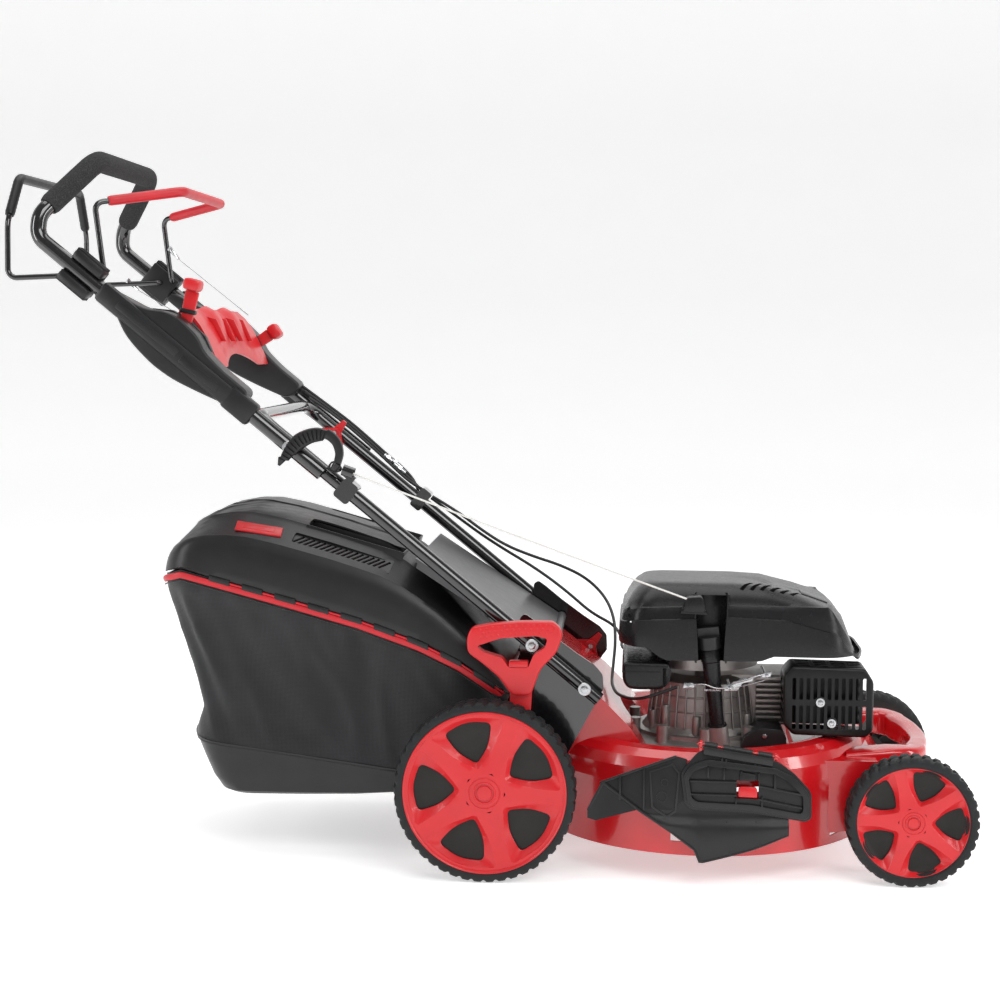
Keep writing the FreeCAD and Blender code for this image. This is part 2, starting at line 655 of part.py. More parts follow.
def control_lever(angle, length):
    """A flat lever with a cross knob; its pivot pin sits in the right shell's boss."""
    x, z = LEVER_AXIS
    dx, dz = math.cos(angle), math.sin(angle)

    def at(reach, across):
        return (x + reach * dx - across * dz, z + reach * dz + across * dx)

    blade = slab([at(0, -5), at(length, -4), at(length, 4), at(0, 5)], -195, -190)
    hub = rod_y(x, z, -196.5, -190, 9)
    pin = rod_y(x, z, -211, -190, 4)
    knob = slab([at(length - 14, -7), at(length + 6, -8), at(length + 6, 8), at(length - 14, 7)],
                -209, -187, 4.0)
    return fuse([blade, hub, pin, knob])


def build_starter_grip():
    """A ribbed pull hook that hangs in the rope guide."""
    hook = slab([(-309, 633), (-300, 656), (-281, 675), (-258, 688), (-232, 690), (-213, 676),
                 (-208, 656), (-214, 640), (-222, 628), (-231, 632), (-226, 650), (-229, 664),
                 (-240, 670), (-251, 664), (-266, 643), (-284, 633)], -257, -243, 3.0)
    stem = rod(vec(-222, -247, 640), vec(-217, -221, 632), 5)
    save("starter_grip", fuse([hook, stem]))


# ---- engine ------------------------------------------------------------------
CRANK_R = 14.0
BLADE_TOP = 68.0
FILLER_TUBE_R = 10.9


def build_engine():
    axis = vec(BLADE_X, 0, 0)
    seat = ENGINE_SEAT_Z
    bore_r = CRANK_R + RUNNING_GAP
    sump = turned([(bore_r, seat), (128, seat), (133, seat + 5), (133, 176), (126, 180), (112, 184),
                   (112, 190), (100, 190), (100, seat + 10), (bore_r, seat + 10)], axis, Z_AXIS)
    studs = []
    for angle in (200, 235, 270, 305, 340, 20, 160):
        x = BLADE_X + 119 * math.cos(math.radians(angle))
        y = 119 * math.sin(math.radians(angle))
        studs.append(Part.makeCylinder(9, 30, vec(x, y, 178), Z_AXIS))
    base = vec(*FILLER_BASE)
    filler = vec(*FILLER_TILT).normalize()
    filler_boss = rod(base - filler * 12, base + filler * 22, 17)
    hex_boss = slab([(412, 178), (420, 196), (440, 210), (476, 208), (482, 178)], -122, -64)
    sump = fuse([sump] + studs + [filler_boss, hex_boss])
    sump = sump.cut(rod(base, base + filler * 60, FILLER_TUBE_R))

    case = turned([(0, 190), (100, 190), (92, 200), (84, 272), (60, 282), (0, 282)], axis, Z_AXIS)
    neck = box(400, 494, -44, 44, 200, 282)
    fins = [box(440, 494, -62, 62, z, z + 3) for z in range(206, 290, 9)]
    head = box(494, 560, -50, 50, 206, 286)
    rocker = box(560, 596, -44, 44, 210, 282)
    block = fuse([case, neck, head, rocker] + fins)
    shaft_hole = Part.makeCylinder(bore_r, 200, vec(BLADE_X, 0, 150), Z_AXIS)
    block = block.cut(Part.makeCylinder(72, 60, vec(BLADE_X, 0, 189), Z_AXIS)).cut(shaft_hole)
    block = block.cut(rod(base, base + filler * 120, 17.2))
    block = largest(block)
    save("engine_block", block)
    save("engine_sump", largest(sump.cut(block)))

    crank = turned([(0, BLADE_TOP), (CRANK_R, BLADE_TOP), (CRANK_R, 300), (10, 300), (10, 322), (0, 322)],
                   axis, Z_AXIS)
    counterweight = Part.makeCylinder(40, 24, vec(BLADE_X, 0, 208), Z_AXIS)
    blade_adapter = Part.makeCylinder(24, 14, vec(BLADE_X, 0, BLADE_TOP), Z_AXIS)
    save("crankshaft", fuse([crank, counterweight, blade_adapter]))

    rim = turned([(10, 300), (70, 300), (84, 296), (90, 296), (90, 316), (30, 316), (30, 322), (10, 322)],
                 axis, Z_AXIS)
    vanes = []
    for turn in range(12):
        vane = box(BLADE_X + 44, BLADE_X + 86, -1.5, 1.5, 316, 334)
        vane.rotate(axis, Z_AXIS, 30 * turn)
        vanes.append(vane)
    save("flywheel", fuse([rim] + vanes))

    build_blade()
    build_engine_covers()
    build_fuel_and_exhaust()


def build_blade():
    """Cutting bar with raised wings at the trailing ends."""
    half = 252.0
    wing_length = 67.0
    under = BLADE_TOP - 4
    bar = box(BLADE_X - half, BLADE_X + half, -28, 28, under, BLADE_TOP)
    for sign in (-1, 1):
        x_from = BLADE_X + half - wing_length if sign > 0 else BLADE_X - half
        bar = bar.fuse(Part.makeBox(wing_length, 4, 26, vec(x_from, sign * 24 - 2, under)))
    trim = Part.makeCylinder(half, 80, vec(BLADE_X, 0, under - 10), Z_AXIS)
    bolt = turned([(0, under - 14), (13, under - 14), (13, under - 4), (17, under - 4), (17, under),
                   (0, under)], vec(BLADE_X, 0, 0), Z_AXIS)
    save("blade", fuse([bar.common(trim), bolt]))


def build_engine_covers():
    """The large moulded shroud over the engine."""
    side = [(236, 441), (513, 435), (573, 394), (612, 304), (596, 326), (458, 330), (436, 322),
            (374, 318), (288, 322), (268, 338), (221, 344), (214, 366), (222, 398), (231, 424)]
    outer = slab(side, -143, 120, 7.0)
    plan_points = [(205, -100), (235, -143), (560, -143), (600, -110), (628, -60), (628, 60),
                   (590, 120), (235, 120), (205, 80)]
    plan = Part.makePolygon([vec(x, y, 250) for x, y in plan_points + [plan_points[0]]])
    plan = Part.Face(plan).extrude(vec(0, 0, 260))
    outer = outer.common(plan)
    inner_side = [(242, 437), (511, 431), (569, 392), (600, 322), (600, 290), (222, 290), (219, 366),
                  (227, 398), (236, 424)]
    inner = slab(inner_side, -139.5, 116.5)
    inner_plan_points = [(209, -98), (237, -139.5), (558, -139.5), (597, -107), (624, -58), (624, 58),
                         (588, 116.5), (237, 116.5), (209, 78)]
    inner_plan = Part.makePolygon([vec(x, y, 250) for x, y in inner_plan_points + [inner_plan_points[0]]])
    inner = inner.common(Part.Face(inner_plan).extrude(vec(0, 0, 260)))
    shroud = outer.cut(inner)
    recess = Part.makeCone(27, 36, 150, vec(366, -126, 300), Z_AXIS)
    wall = Part.makeCone(30, 39, 150, vec(366, -126, 300), Z_AXIS)
    liner = wall.common(slab(side, -143, -60, 7.0)).cut(recess)
    shroud = fuse([shroud.cut(recess), liner])
    for row in range(5):
        x = 424 + 18 * row
        shroud = shroud.cut(box(x, x + 9, -84, -30, 380, 460))
    outlet = box(318, 352, -168, -139, 402, 428)
    outlet = outlet.cut(recess)
    shroud = fuse([shroud, outlet]).cut(rod(vec(334, -160, 420), vec(306, -165, 430), 4))
    save("engine_shroud", largest(shroud))


def build_fuel_and_exhaust():
    tank = round_upright_edges(box(222, 300, -135, 60, 272, 317), 8)
    tank = tank.cut(turned([(0, 260), (86, 260), (94, 330), (0, 330)], vec(BLADE_X, 0, 0), Z_AXIS))
    save("fuel_tank", tank)

    cap_axis = vec(*FILLER_TILT).normalize()
    base = vec(*FILLER_BASE)
    length = 150.0
    tube = rod(base, base + cap_axis * length, FILLER_TUBE_R)
    bore = rod(base - cap_axis, base + cap_axis * (length + 1), 8)
    stop = rod(base + cap_axis * 22, base + cap_axis * 28, 15)
    save("oil_filler_tube", fuse([tube, stop]).cut(bore))
    top = base + cap_axis * length
    cap = rod(top + cap_axis * 0.3, top + cap_axis * 20, 19)
    wing = Part.makeBox(34, 8, 16, vec(-17, -4, 0))
    wing.Placement = FreeCAD.Placement(top + cap_axis * 18, FreeCAD.Rotation(Z_AXIS, cap_axis))
    plug = rod(top - cap_axis * 12, top + cap_axis, 8 - RUNNING_GAP)
    save("oil_cap", fuse([cap, wing, plug]))

    save("muffler", round_upright_edges(box(490, 600, -122, -68, 220, 298), 10))
    guard_side = [(477, 222), (492, 206), (606, 203), (617, 214), (617, 292), (604, 313), (490, 316),
                  (477, 300)]
    guard = slab(guard_side, -146, -70, 6.0).cut(slab([(481, 226), (494, 210), (604, 207), (613, 216),
                 (613, 290), (601, 309), (492, 312), (481, 298)], -142, -60, 5.0))
    for column in range(11):
        x = 490 + 11 * column
        for z_from, z_to in ((214, 254), (264, 300)):
            guard = guard.cut(box(x, x + 5.5, -150, -140, z_from, z_to))
    bolts = [rod_y(x, z, -149, -122, 5) for x, z in ((534, 259), (552, 226))]
    plates = [rod_y(x, z, -146, -142, 9) for x, z in ((534, 259), (552, 226))]
    save("muffler_guard", fuse([guard] + plates + bolts))

    carb = fuse([box(300, 345, 88, 128, 226, 262), rod(vec(322, 108, 262), vec(322, 108, 276), 14),
                 box(286, 300, 94, 122, 232, 256)])
    save("carburettor", carb.cut(turned([(0, 180), (101, 180), (101, 300), (0, 300)], vec(BLADE_X, 0, 0),
                                        Z_AXIS)))

    plate = slab([(328, 276), (360, 272), (400, 276), (452, 292), (460, 304), (440, 302), (396, 288),
                  (330, 286)], -140, -138)
    tabs = [box(334, 338, -138, -77, 276, 281), box(444, 448, -138, -62, 296, 299)]
    barrel = rod(vec(312, -139, 280), vec(332, -139, 281), 4)
    linkage = fuse([plate, barrel] + tabs)
    save("throttle_linkage", linkage)


# ---- cables -------------------------------------------------------------------
CABLE_R = 2.6


def smooth_radii(points):
    """The largest arc each inner point leaves room for."""
    radii = []
    for before, corner, after in zip(points, points[1:], points[2:]):
        turn = math.pi - (before - corner).getAngle(after - corner)
        shorter = min((before - corner).Length, (after - corner).Length)
        radii.append(0.45 * shorter / math.tan(turn / 2))
    return radii


def build_cables():
    """Three control cables from the clip on the left tube, and the starter rope."""
    routes = {
        "throttle": [handle_vec(417, 20, 202), vec(-78, 206, 524), vec(-34, 208, 490), vec(10, 207, 462),
                     vec(60, 204, 443), vec(110, 200, 428), vec(156, 191, 407), vec(190, 168, 377),
                     vec(206, 130, 346), vec(209, 88, 312), vec(206, 46, 282), vec(204, 4, 264),
                     vec(205, -40, 260), vec(214, -86, 254), vec(242, -124, 254), vec(276, -140, 266),
                     vec(309, -139, 279.5)],
        "brake": [handle_vec(417, 15, 211), vec(-80, 215, 514), vec(-36, 218, 481), vec(8, 217, 453),
                  vec(50, 213, 429), vec(90, 208, 403), vec(128, 204, 374), vec(164, 200, 343),
                  vec(206, 196, 322), vec(220, 170, 303), vec(218, 136, 290), vec(236, 104, 290)],
        "drive": [handle_vec(417, 2, 215), vec(-96, 222, 508), vec(-58, 227, 474), vec(-18, 229, 438),
                  vec(22, 230, 399), vec(64, 229, 366), vec(104, 225, 328), vec(134, 217, 290),
                  vec(150, 207, 252), vec(152, 200, 216), vec(140, 196, 182)],
    }
    solids = []
    for name, points in routes.items():
        radii = smooth_radii(points)
        solids.append(pipe(points, radii, CABLE_R))
        print(name, "cable, smallest bend", round(min(radii)))
    save("control_cables", Part.makeCompound(solids))

    rope = rod(handle_vec(*ROPE_EYE) + EYE_AXIS * 9, vec(332, -160.2, 420.4), 2.2)
    save("starter_rope", rope)


# ---- rear flap and grass bag -----------------------------------------------------
def build_rear_flap():
    """The sprung flap that closes the chute when the bag is off; its edge rests on the bag's lid."""
    x, z = FLAP_HINGE
    end_x, end_z = -103.0, 483.0
    skin = slab([(x, z - 3), (x, z + 3), (end_x, end_z + 3), (end_x, end_z - 3)], -178, 178)
    hems = [slab([(x - 14, z - 2), (x - 10, z + 8), (end_x + 4, end_z), (end_x, end_z - 12)],
                 side * 175 - 3, side * 175 + 3) for side in (-1, 1)]
    barrel = rod_y(x, z, -178, 178, 8)
    save("rear_flap", fuse([skin, barrel] + hems))


SIDE_OUTLINE = [(39, 282), (52, 206), (-128, 148), (-137, 116), (-289, 141), (-386, 155), (-412, 166),
                (-434, 208), (-434, 259), (-452, 339), (-462, 435), (-476, 472), (-473, 502),
                (-451, 526), (-403, 527), (-306, 504), (-156, 454), (-67, 402), (-27, 367)]
MIDDLE_OUTLINE = [(36, 300), (52, 206), (-128, 148), (-137, 108), (-289, 103), (-410, 102), (-446, 106),
                  (-476, 150), (-497, 250), (-517, 319), (-522, 422), (-528, 448), (-500, 512),
                  (-467, 539), (-403, 560), (-321, 552), (-180, 510), (-127, 480), (-40, 415)]


def shrunk(points, by):
    """The outline moved in by a wall thickness at every corner."""
    moved = []
    count = len(points)
    for index in range(count):
        before = vec(points[index - 1][0], 0, points[index - 1][1])
        at = vec(points[index][0], 0, points[index][1])
        after = vec(points[(index + 1) % count][0], 0, points[(index + 1) % count][1])
        one = (at - before).normalize()
        two = (after - at).normalize()
        normal = (vec(-one.z, 0, one.x) + vec(-two.z, 0, two.x)).normalize()
        stretch = 1 / max(0.5, normal.dot(vec(-one.z, 0, one.x)))
        inner = at - normal * by * stretch
        moved.append((inner.x, inner.z))
    return moved


def bag_body(by):
    """The whole bag, or with a wall thickness its inside."""
    stations = [(-BAG_Y, SIDE_OUTLINE), (-BAG_Y * 0.55, MIDDLE_OUTLINE), (BAG_Y * 0.55, MIDDLE_OUTLINE),
                (BAG_Y, SIDE_OUTLINE)]
    pieces = []
    for (y_from, first), (y_to, second) in zip(stations, stations[1:]):
        wires = []
        for y, points in ((y_from, first), (y_to, second)):
            reach = max(-BAG_Y + by, min(BAG_Y - by, y))
            wire = sharp_outline(shrunk(points, by) if by else points)
            wire.translate(vec(0, reach, 0))
            wires.append(wire)
        pieces.append(Part.makeLoft(wires, True, True))
    return fuse(pieces)


def build_bag():
    """Hard lid, fabric body and hard tray, open at the front where they meet the chute."""
    wall = 3.0
    outer = bag_body(0)
    inner = bag_body(wall)
    mouth = slab([(60, 300), (60, 190), (20, 212), (14, 296)], -BAG_Y + 24, BAG_Y - 24)
    neck = slab([(0, 290), (58, 290), (62, 215), (0, 200)], -BAG_Y + 24, BAG_Y - 24)
    shell = outer.cut(inner).cut(mouth).cut(neck)
    lid_zone = [(-700, 486), (-446, 461), (-382, 444), (-286, 418), (-191, 391), (-96, 357), (-32, 326),
                (39, 279), (90, 244), (90, 700), (-700, 700)]
    tray_zone = [(-700, 192), (-425, 188), (-288, 170), (-128, 144), (90, 150), (90, 0), (-700, 0)]
    lid_block = slab(lid_zone, -300, 300)
    tray_block = slab(tray_zone, -300, 300)
    lid = shell.common(lid_block)
    tray = shell.common(tray_block)
    fabric = shell.cut(lid_block).cut(tray_block)
    grip_hollow = slab([(-330, 600), (-330, 515), (-190, 478), (-170, 560)], -70, 70)
    grip_pan = slab([(-333, 580), (-333, 512), (-190, 475), (-167, 560)], -73, 73)
    pan = outer.common(grip_pan).cut(grip_hollow)
    bridge = outer.common(slab([(-268, 600), (-268, 528), (-238, 520), (-238, 600)], -72, 72))
    lid = fuse([lid.cut(grip_pan), pan, bridge])
    for name, piece in (("bag_lid", lid), ("bag_tray", tray), ("bag_fabric", fabric)):
        save(name, largest(piece))


build_wheels()
build_rear_axle()
build_front_axle()
build_height_lever()
build_deck()
build_front_bumper()
build_side_discharge()
build_brackets()
build_lower_handle()
build_handle_joints()
upper_tube = build_upper_handle()
build_bail_pivots(upper_tube)
build_bails()
build_console(upper_tube)
build_starter_grip()
build_engine()
build_cables()
build_rear_flap()
build_bag()
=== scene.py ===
import json
import math

import bmesh
import bpy
from mathutils import Matrix, Vector, noise
from mathutils.bvhtree import BVHTree


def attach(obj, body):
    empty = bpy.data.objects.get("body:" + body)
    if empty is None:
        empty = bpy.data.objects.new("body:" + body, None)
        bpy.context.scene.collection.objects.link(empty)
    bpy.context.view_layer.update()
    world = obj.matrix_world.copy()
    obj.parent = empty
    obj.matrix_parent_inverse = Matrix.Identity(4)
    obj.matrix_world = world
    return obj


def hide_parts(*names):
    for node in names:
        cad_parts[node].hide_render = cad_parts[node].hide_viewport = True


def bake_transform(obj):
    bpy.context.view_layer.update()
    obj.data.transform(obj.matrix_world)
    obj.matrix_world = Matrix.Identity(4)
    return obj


# Looks of the self-propelled petrol mower. Metres inside Blender; the helpers take millimetres.
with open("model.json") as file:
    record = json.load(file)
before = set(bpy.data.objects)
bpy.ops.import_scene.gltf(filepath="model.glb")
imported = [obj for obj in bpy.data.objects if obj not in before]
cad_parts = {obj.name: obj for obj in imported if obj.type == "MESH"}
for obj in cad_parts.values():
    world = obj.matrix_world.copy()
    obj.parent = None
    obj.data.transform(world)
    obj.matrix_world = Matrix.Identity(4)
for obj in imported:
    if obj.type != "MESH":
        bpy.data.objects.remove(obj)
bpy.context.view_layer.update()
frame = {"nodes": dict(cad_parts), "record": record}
NODES = frame["nodes"]
MM = 0.001


def mm(x, y, z):
    return Vector((x, y, z)) * MM


# ---- materials -----------------------------------------------------------
def finish(name, colour, roughness, metallic=0.0, coat=0.0, vary=0.10, vary_scale=22.0,
           rough_vary=0.08, grain=0.0, grain_scale=1500.0, texture=None, sheen=0.0, specular=0.5):
    """A procedural surface: uneven colour, uneven roughness and a fine grain."""
    material = bpy.data.materials.new(name)
    material.use_nodes = True
    nodes, links = material.node_tree.nodes, material.node_tree.links
    shader = nodes["Principled BSDF"]
    shader.inputs["Metallic"].default_value = metallic
    shader.inputs["Coat Weight"].default_value = coat
    shader.inputs["Coat Roughness"].default_value = 0.06
    shader.inputs["Sheen Weight"].default_value = sheen
    shader.inputs["Specular IOR Level"].default_value = specular
    place = nodes.new("ShaderNodeTexCoord")

    cloud = nodes.new("ShaderNodeTexNoise")
    cloud.inputs["Scale"].default_value = vary_scale
    cloud.inputs["Detail"].default_value = 5.0
    links.new(place.outputs["Object"], cloud.inputs["Vector"])
    ramp = nodes.new("ShaderNodeValToRGB")
    ramp.color_ramp.elements[0].position = 0.3
    ramp.color_ramp.elements[1].position = 0.7
    ramp.color_ramp.elements[0].color = [c * (1 - vary) for c in colour] + [1]
    ramp.color_ramp.elements[1].color = [min(1, c * (1 + vary)) for c in colour] + [1]
    links.new(cloud.outputs["Fac"], ramp.inputs["Fac"])
    colour_out = ramp.outputs["Color"]

    smudge = nodes.new("ShaderNodeTexNoise")
    smudge.inputs["Scale"].default_value = vary_scale * 3
    smudge.inputs["Detail"].default_value = 4.0
    links.new(place.outputs["Object"], smudge.inputs["Vector"])
    spread = nodes.new("ShaderNodeMapRange")
    spread.inputs["To Min"].default_value = max(0.02, roughness - rough_vary)
    spread.inputs["To Max"].default_value = min(1.0, roughness + rough_vary)
    links.new(smudge.outputs["Fac"], spread.inputs["Value"])
    links.new(spread.outputs["Result"], shader.inputs["Roughness"])

    normal = None
    if grain:
        fine = nodes.new("ShaderNodeTexNoise")
        fine.inputs["Scale"].default_value = grain_scale
        fine.inputs["Detail"].default_value = 3.0
        links.new(place.outputs["Object"], fine.inputs["Vector"])
        normal = relief(nodes, links, fine.outputs["Fac"], grain)
    if texture:
        colour_out, normal = texture(nodes, links, place, colour_out, normal)
    links.new(colour_out, shader.inputs["Base Color"])
    if normal:
        links.new(normal.outputs["Normal"], shader.inputs["Normal"])
    return material


def relief(nodes, links, height, strength, distance=0.0006, under=None):
    """A bump of the shader's normal, on top of another one if there is one."""
    bump = nodes.new("ShaderNodeBump")
    bump.inputs["Strength"].default_value = strength
    bump.inputs["Distance"].default_value = distance
    links.new(height, bump.inputs["Height"])
    if under:
        links.new(under.outputs["Normal"], bump.inputs["Normal"])
    return bump


def cell_pattern(nodes, links, place, scale):
    cells = nodes.new("ShaderNodeTexVoronoi")
    cells.inputs["Scale"].default_value = scale
    links.new(place.outputs["Object"], cells.inputs["Vector"])
    return cells


def band(nodes, links, place, direction, scale):
    wave = nodes.new("ShaderNodeTexWave")
    wave.bands_direction = direction
    wave.inputs["Scale"].default_value = scale
    wave.inputs["Distortion"].default_value = 0.6
    wave.inputs["Detail"].default_value = 1.0
    links.new(place.outputs["Object"], wave.inputs["Vector"])
    return wave


def mesh_weave(nodes, links, place, colour_out, normal):
    """Open mesh cloth: two crossing sets of threads, with painted shade in the holes."""
    upright = band(nodes, links, place, "Z", 150.0)
    level = band(nodes, links, place, "X", 150.0)
    both = nodes.new("ShaderNodeMath")
    both.operation = "MAXIMUM"
    links.new(upright.outputs["Fac"], both.inputs[0])
    links.new(level.outputs["Fac"], both.inputs[1])
    # Painted shade: where both thread bands are low (the holes), the colour is mixed towards near-black.
    shade = nodes.new("ShaderNodeMix")
    shade.data_type = "RGBA"
    shade.inputs["A"].default_value = (0.006, 0.006, 0.007, 1)
    links.new(both.outputs["Value"], shade.inputs["Factor"])
    links.new(colour_out, shade.inputs["B"])
    return shade.outputs["Result"], relief(nodes, links, both.outputs["Value"], 0.5, 0.0008, normal)


def cast_skin(nodes, links, place, colour_out, normal):
    """Sand-cast aluminium: pits, as a bump of the surface."""
    cells = cell_pattern(nodes, links, place, 420.0)
    return colour_out, relief(nodes, links, cells.outputs["Distance"], 0.25, under=normal)


def foam_skin(nodes, links, place, colour_out, normal):
    """Closed foam: small cells, with painted shade in their hollows and a painted highlight on their rims."""
    cells = cell_pattern(nodes, links, place, 560.0)
    bump = relief(nodes, links, cells.outputs["Distance"], 0.7, 0.001)
    # Painted shade and highlight: cell centres keep the dark foam colour and cell rims are mixed towards a
    # lighter grey.
    shade = nodes.new("ShaderNodeMix")
    shade.data_type = "RGBA"
    shade.inputs["B"].default_value = (0.055, 0.055, 0.056, 1)
    links.new(colour_out, shade.inputs["A"])
    links.new(cells.outputs["Distance"], shade.inputs["Factor"])
    return shade.outputs["Result"], bump


def twisted(nodes, links, place, colour_out, normal):
    """Laid rope: slanting strands."""
    strands = band(nodes, links, place, "DIAGONAL", 260.0)
    return colour_out, relief(nodes, links, strands.outputs["Fac"], 0.6)


SURFACES = {
    "deck_paint": dict(colour=(0.56, 0.006, 0.010), roughness=0.22, coat=0.6, vary=0.05, rough_vary=0.06,
                       grain=0.04, grain_scale=420),
    "red_plastic": dict(colour=(0.60, 0.012, 0.017), roughness=0.36, coat=0.1, vary=0.06, rough_vary=0.07,
                        grain=0.08, grain_scale=1300),
    "bail_red": dict(colour=(0.52, 0.010, 0.018), roughness=0.42, vary=0.08, grain=0.15),
    "tube_black": dict(colour=(0.006, 0.006, 0.007), roughness=0.15, coat=1.0, vary=0.15, rough_vary=0.07,
                       grain=0.05, grain_scale=500),
    "black_plastic": dict(colour=(0.015, 0.015, 0.016), roughness=0.34, specular=0.36, vary=0.14,
                          rough_vary=0.08, grain=0.22, grain_scale=2100),
    "shroud_black": dict(colour=(0.010, 0.010, 0.011), roughness=0.27, specular=0.30, vary=0.06,
                         rough_vary=0.03, grain=0.20, grain_scale=1900),
    "flap_grey": dict(colour=(0.070, 0.070, 0.073), roughness=0.30, vary=0.06, rough_vary=0.04, grain=0.03,
                      grain_scale=1500),
    "foam": dict(colour=(0.012, 0.012, 0.013), roughness=0.9, vary=0.2, texture=foam_skin, specular=0.25),
    "wheel_grey": dict(colour=(0.020, 0.019, 0.018), roughness=0.62, specular=0.3, vary=0.12, grain=0.3,
                       grain_scale=1500),
    "tyre": dict(colour=(0.013, 0.014, 0.015), roughness=0.55, specular=0.3, vary=0.18, vary_scale=35,
                 grain=0.25, grain_scale=1200),
    "bag_mesh": dict(colour=(0.014, 0.014, 0.016), roughness=0.5, specular=0.3, vary=0.45, vary_scale=9,
                     texture=mesh_weave, sheen=0.25),
    "cable": dict(colour=(0.012, 0.012, 0.013), roughness=0.34, vary=0.15, grain=0.1),
    "rope": dict(colour=(0.78, 0.77, 0.74), roughness=0.8, vary=0.08, vary_scale=300, texture=twisted),
    "engine_casting": dict(colour=(0.42, 0.40, 0.385), roughness=0.44, metallic=0.85, vary=0.16,
                           vary_scale=30, rough_vary=0.1, grain=0.35, grain_scale=900, texture=cast_skin),
    "guard_black": dict(colour=(0.007, 0.007, 0.007), roughness=0.34, specular=0.28, vary=0.2, grain=0.2),
    "zinc": dict(colour=(0.50, 0.51, 0.52), roughness=0.27, metallic=1.0, vary=0.12, vary_scale=90,
                 rough_vary=0.1, grain=0.06),
    "blade_steel": dict(colour=(0.20, 0.20, 0.21), roughness=0.38, metallic=0.9, vary=0.2),
}
MATERIALS = {name: finish(name, **settings) for name, settings in SURFACES.items()}
for part in frame["record"]["subparts"]:
    mesh = NODES[part["node"]].data
    mesh.materials.clear()
    mesh.materials.append(MATERIALS[part["material_slot"]])


# ---- making pieces ---------------------------------------------------------
def smooth_faces(obj):
    for polygon in obj.data.polygons:
        polygon.use_smooth = True


def settle(obj, body, slot, replaces=(), sharp=38.0):
    """Give a finished mesh its material, body and slot."""
    obj.data.materials.clear()
    obj.data.materials.append(MATERIALS[slot])
    smooth_faces(obj)
    obj.data.set_sharp_from_angle(angle=math.radians(sharp))
    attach(obj, body)
    if replaces:
        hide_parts(*replaces)
    return obj


def bake(obj):
    """Apply all modifiers."""
    graph = bpy.context.evaluated_depsgraph_get()
    done = bpy.data.meshes.new_from_object(obj.evaluated_get(graph))
    obj.modifiers.clear()
    obj.data = done
    return obj


def outward(obj):
    """Turn the faces of a closed mesh outward."""
    work = bmesh.new()
    work.from_mesh(obj.data)
    bmesh.ops.recalc_face_normals(work, faces=work.faces)
    work.to_mesh(obj.data)
    work.free()
    return obj


def add_object(name, mesh):
    obj = bpy.data.objects.new(name, mesh)
    bpy.context.scene.collection.objects.link(obj)
    return obj


def from_faces(name, verts, faces, merge=0.0):
    """A mesh from millimetre points."""
    mesh = bpy.data.meshes.new(name)
    mesh.from_pydata([Vector(v) * MM for v in verts], [], faces)
    work = bmesh.new()
    work.from_mesh(mesh)
    if merge:
        bmesh.ops.remove_doubles(work, verts=work.verts, dist=merge * MM)
    bmesh.ops.recalc_face_normals(work, faces=work.faces)
    work.to_mesh(mesh)
    work.free()
    return add_object(name, mesh)


def loops(name, rings, closed=True, cap_start=False, cap_end=False, closed_rings=False):
    """Skin between rings of equally many points."""
    count = len(rings[0])
    verts = [tuple(point) for ring in rings for point in ring]
    faces = []
    last = len(rings) if closed_rings else len(rings) - 1
    for row in range(last):
        after = (row + 1) % len(rings)
        for index in range(count if closed else count - 1):
            other = (index + 1) % count
            faces.append((row * count + index, row * count + other, after * count + other,
                          after * count + index))
    if cap_start:
        faces.append(tuple(range(count)))
    if cap_end:
        faces.append(tuple((len(rings) - 1) * count + index for index in range(count)))
    return from_faces(name, verts, faces)


def rounded(points, radius, steps=5):
    """Round the corners of a closed 2-D outline; radius is a number or one per corner."""
    out = []
    count = len(points)
    for index in range(count):
        r = radius[index] if isinstance(radius, (list, tuple)) else radius
        here = Vector(points[index])
        before = Vector(points[index - 1]) - here
        after = Vector(points[(index + 1) % count]) - here
        if r <= 0:
            out.append(tuple(here))
            continue
        reach = min(r, 0.45 * before.length, 0.45 * after.length)
        start = here + before.normalized() * reach
        end = here + after.normalized() * reach
        for step in range(steps + 1):
            t = step / steps
            point = start * (1 - t) ** 2 + here * (2 * t * (1 - t)) + end * t ** 2
            out.append(tuple(point))
    return out


def slab(name, outline, y_from, y_to, radius=0.0, bevel=0.0, segments=2):
    """An outline in side view, given thickness along Y."""
    points = rounded(outline, radius) if radius else outline
    count = len(points)
    verts = [(x, y_from, z) for x, z in points] + [(x, y_to, z) for x, z in points]
    faces = [tuple(range(count)), tuple(range(count, 2 * count))]
    for index in range(count):
        other = (index + 1) % count
        faces.append((index, other, count + other, count + index))
    obj = from_faces(name, verts, faces)
    return soften(obj, bevel, segments) if bevel else obj


def soften(obj, width, segments=2, angle=35.0):
    bevel = obj.modifiers.new("bevel", "BEVEL")
    bevel.width = width * MM
    bevel.segments = segments
    bevel.limit_method = "ANGLE"
    bevel.angle_limit = math.radians(angle)
    bevel.use_clamp_overlap = True
    return bake(obj)


def shell(obj, thickness, offset=-1.0):
    solid = obj.modifiers.new("solid", "SOLIDIFY")
    solid.thickness = thickness * MM
    solid.offset = offset
    return outward(bake(obj))


def carve(obj, cutters, operation="DIFFERENCE"):
    for cutter in cutters:
        outward(cutter)
        step = obj.modifiers.new("cut", "BOOLEAN")
        step.operation = operation
        step.solver = "FAST"
        step.object = cutter
    bake(obj)
    for cutter in cutters:
        bpy.data.objects.remove(cutter)
    return obj


def block(name, centre, size, turn=None, bevel=0.0):
    """A box about a centre, turned by a matrix."""
    work = bmesh.new()
    bmesh.ops.create_cube(work, size=1.0)
    matrix = Matrix.Translation(Vector(centre) * MM)
    if turn:
        matrix = matrix @ turn.to_4x4()
    matrix = matrix @ Matrix.Diagonal((size[0] * MM, size[1] * MM, size[2] * MM, 1))
    bmesh.ops.transform(work, matrix=matrix, verts=work.verts)
    mesh = bpy.data.meshes.new(name)
    work.to_mesh(mesh)
    work.free()
    obj = add_object(name, mesh)
    return soften(obj, bevel) if bevel else obj


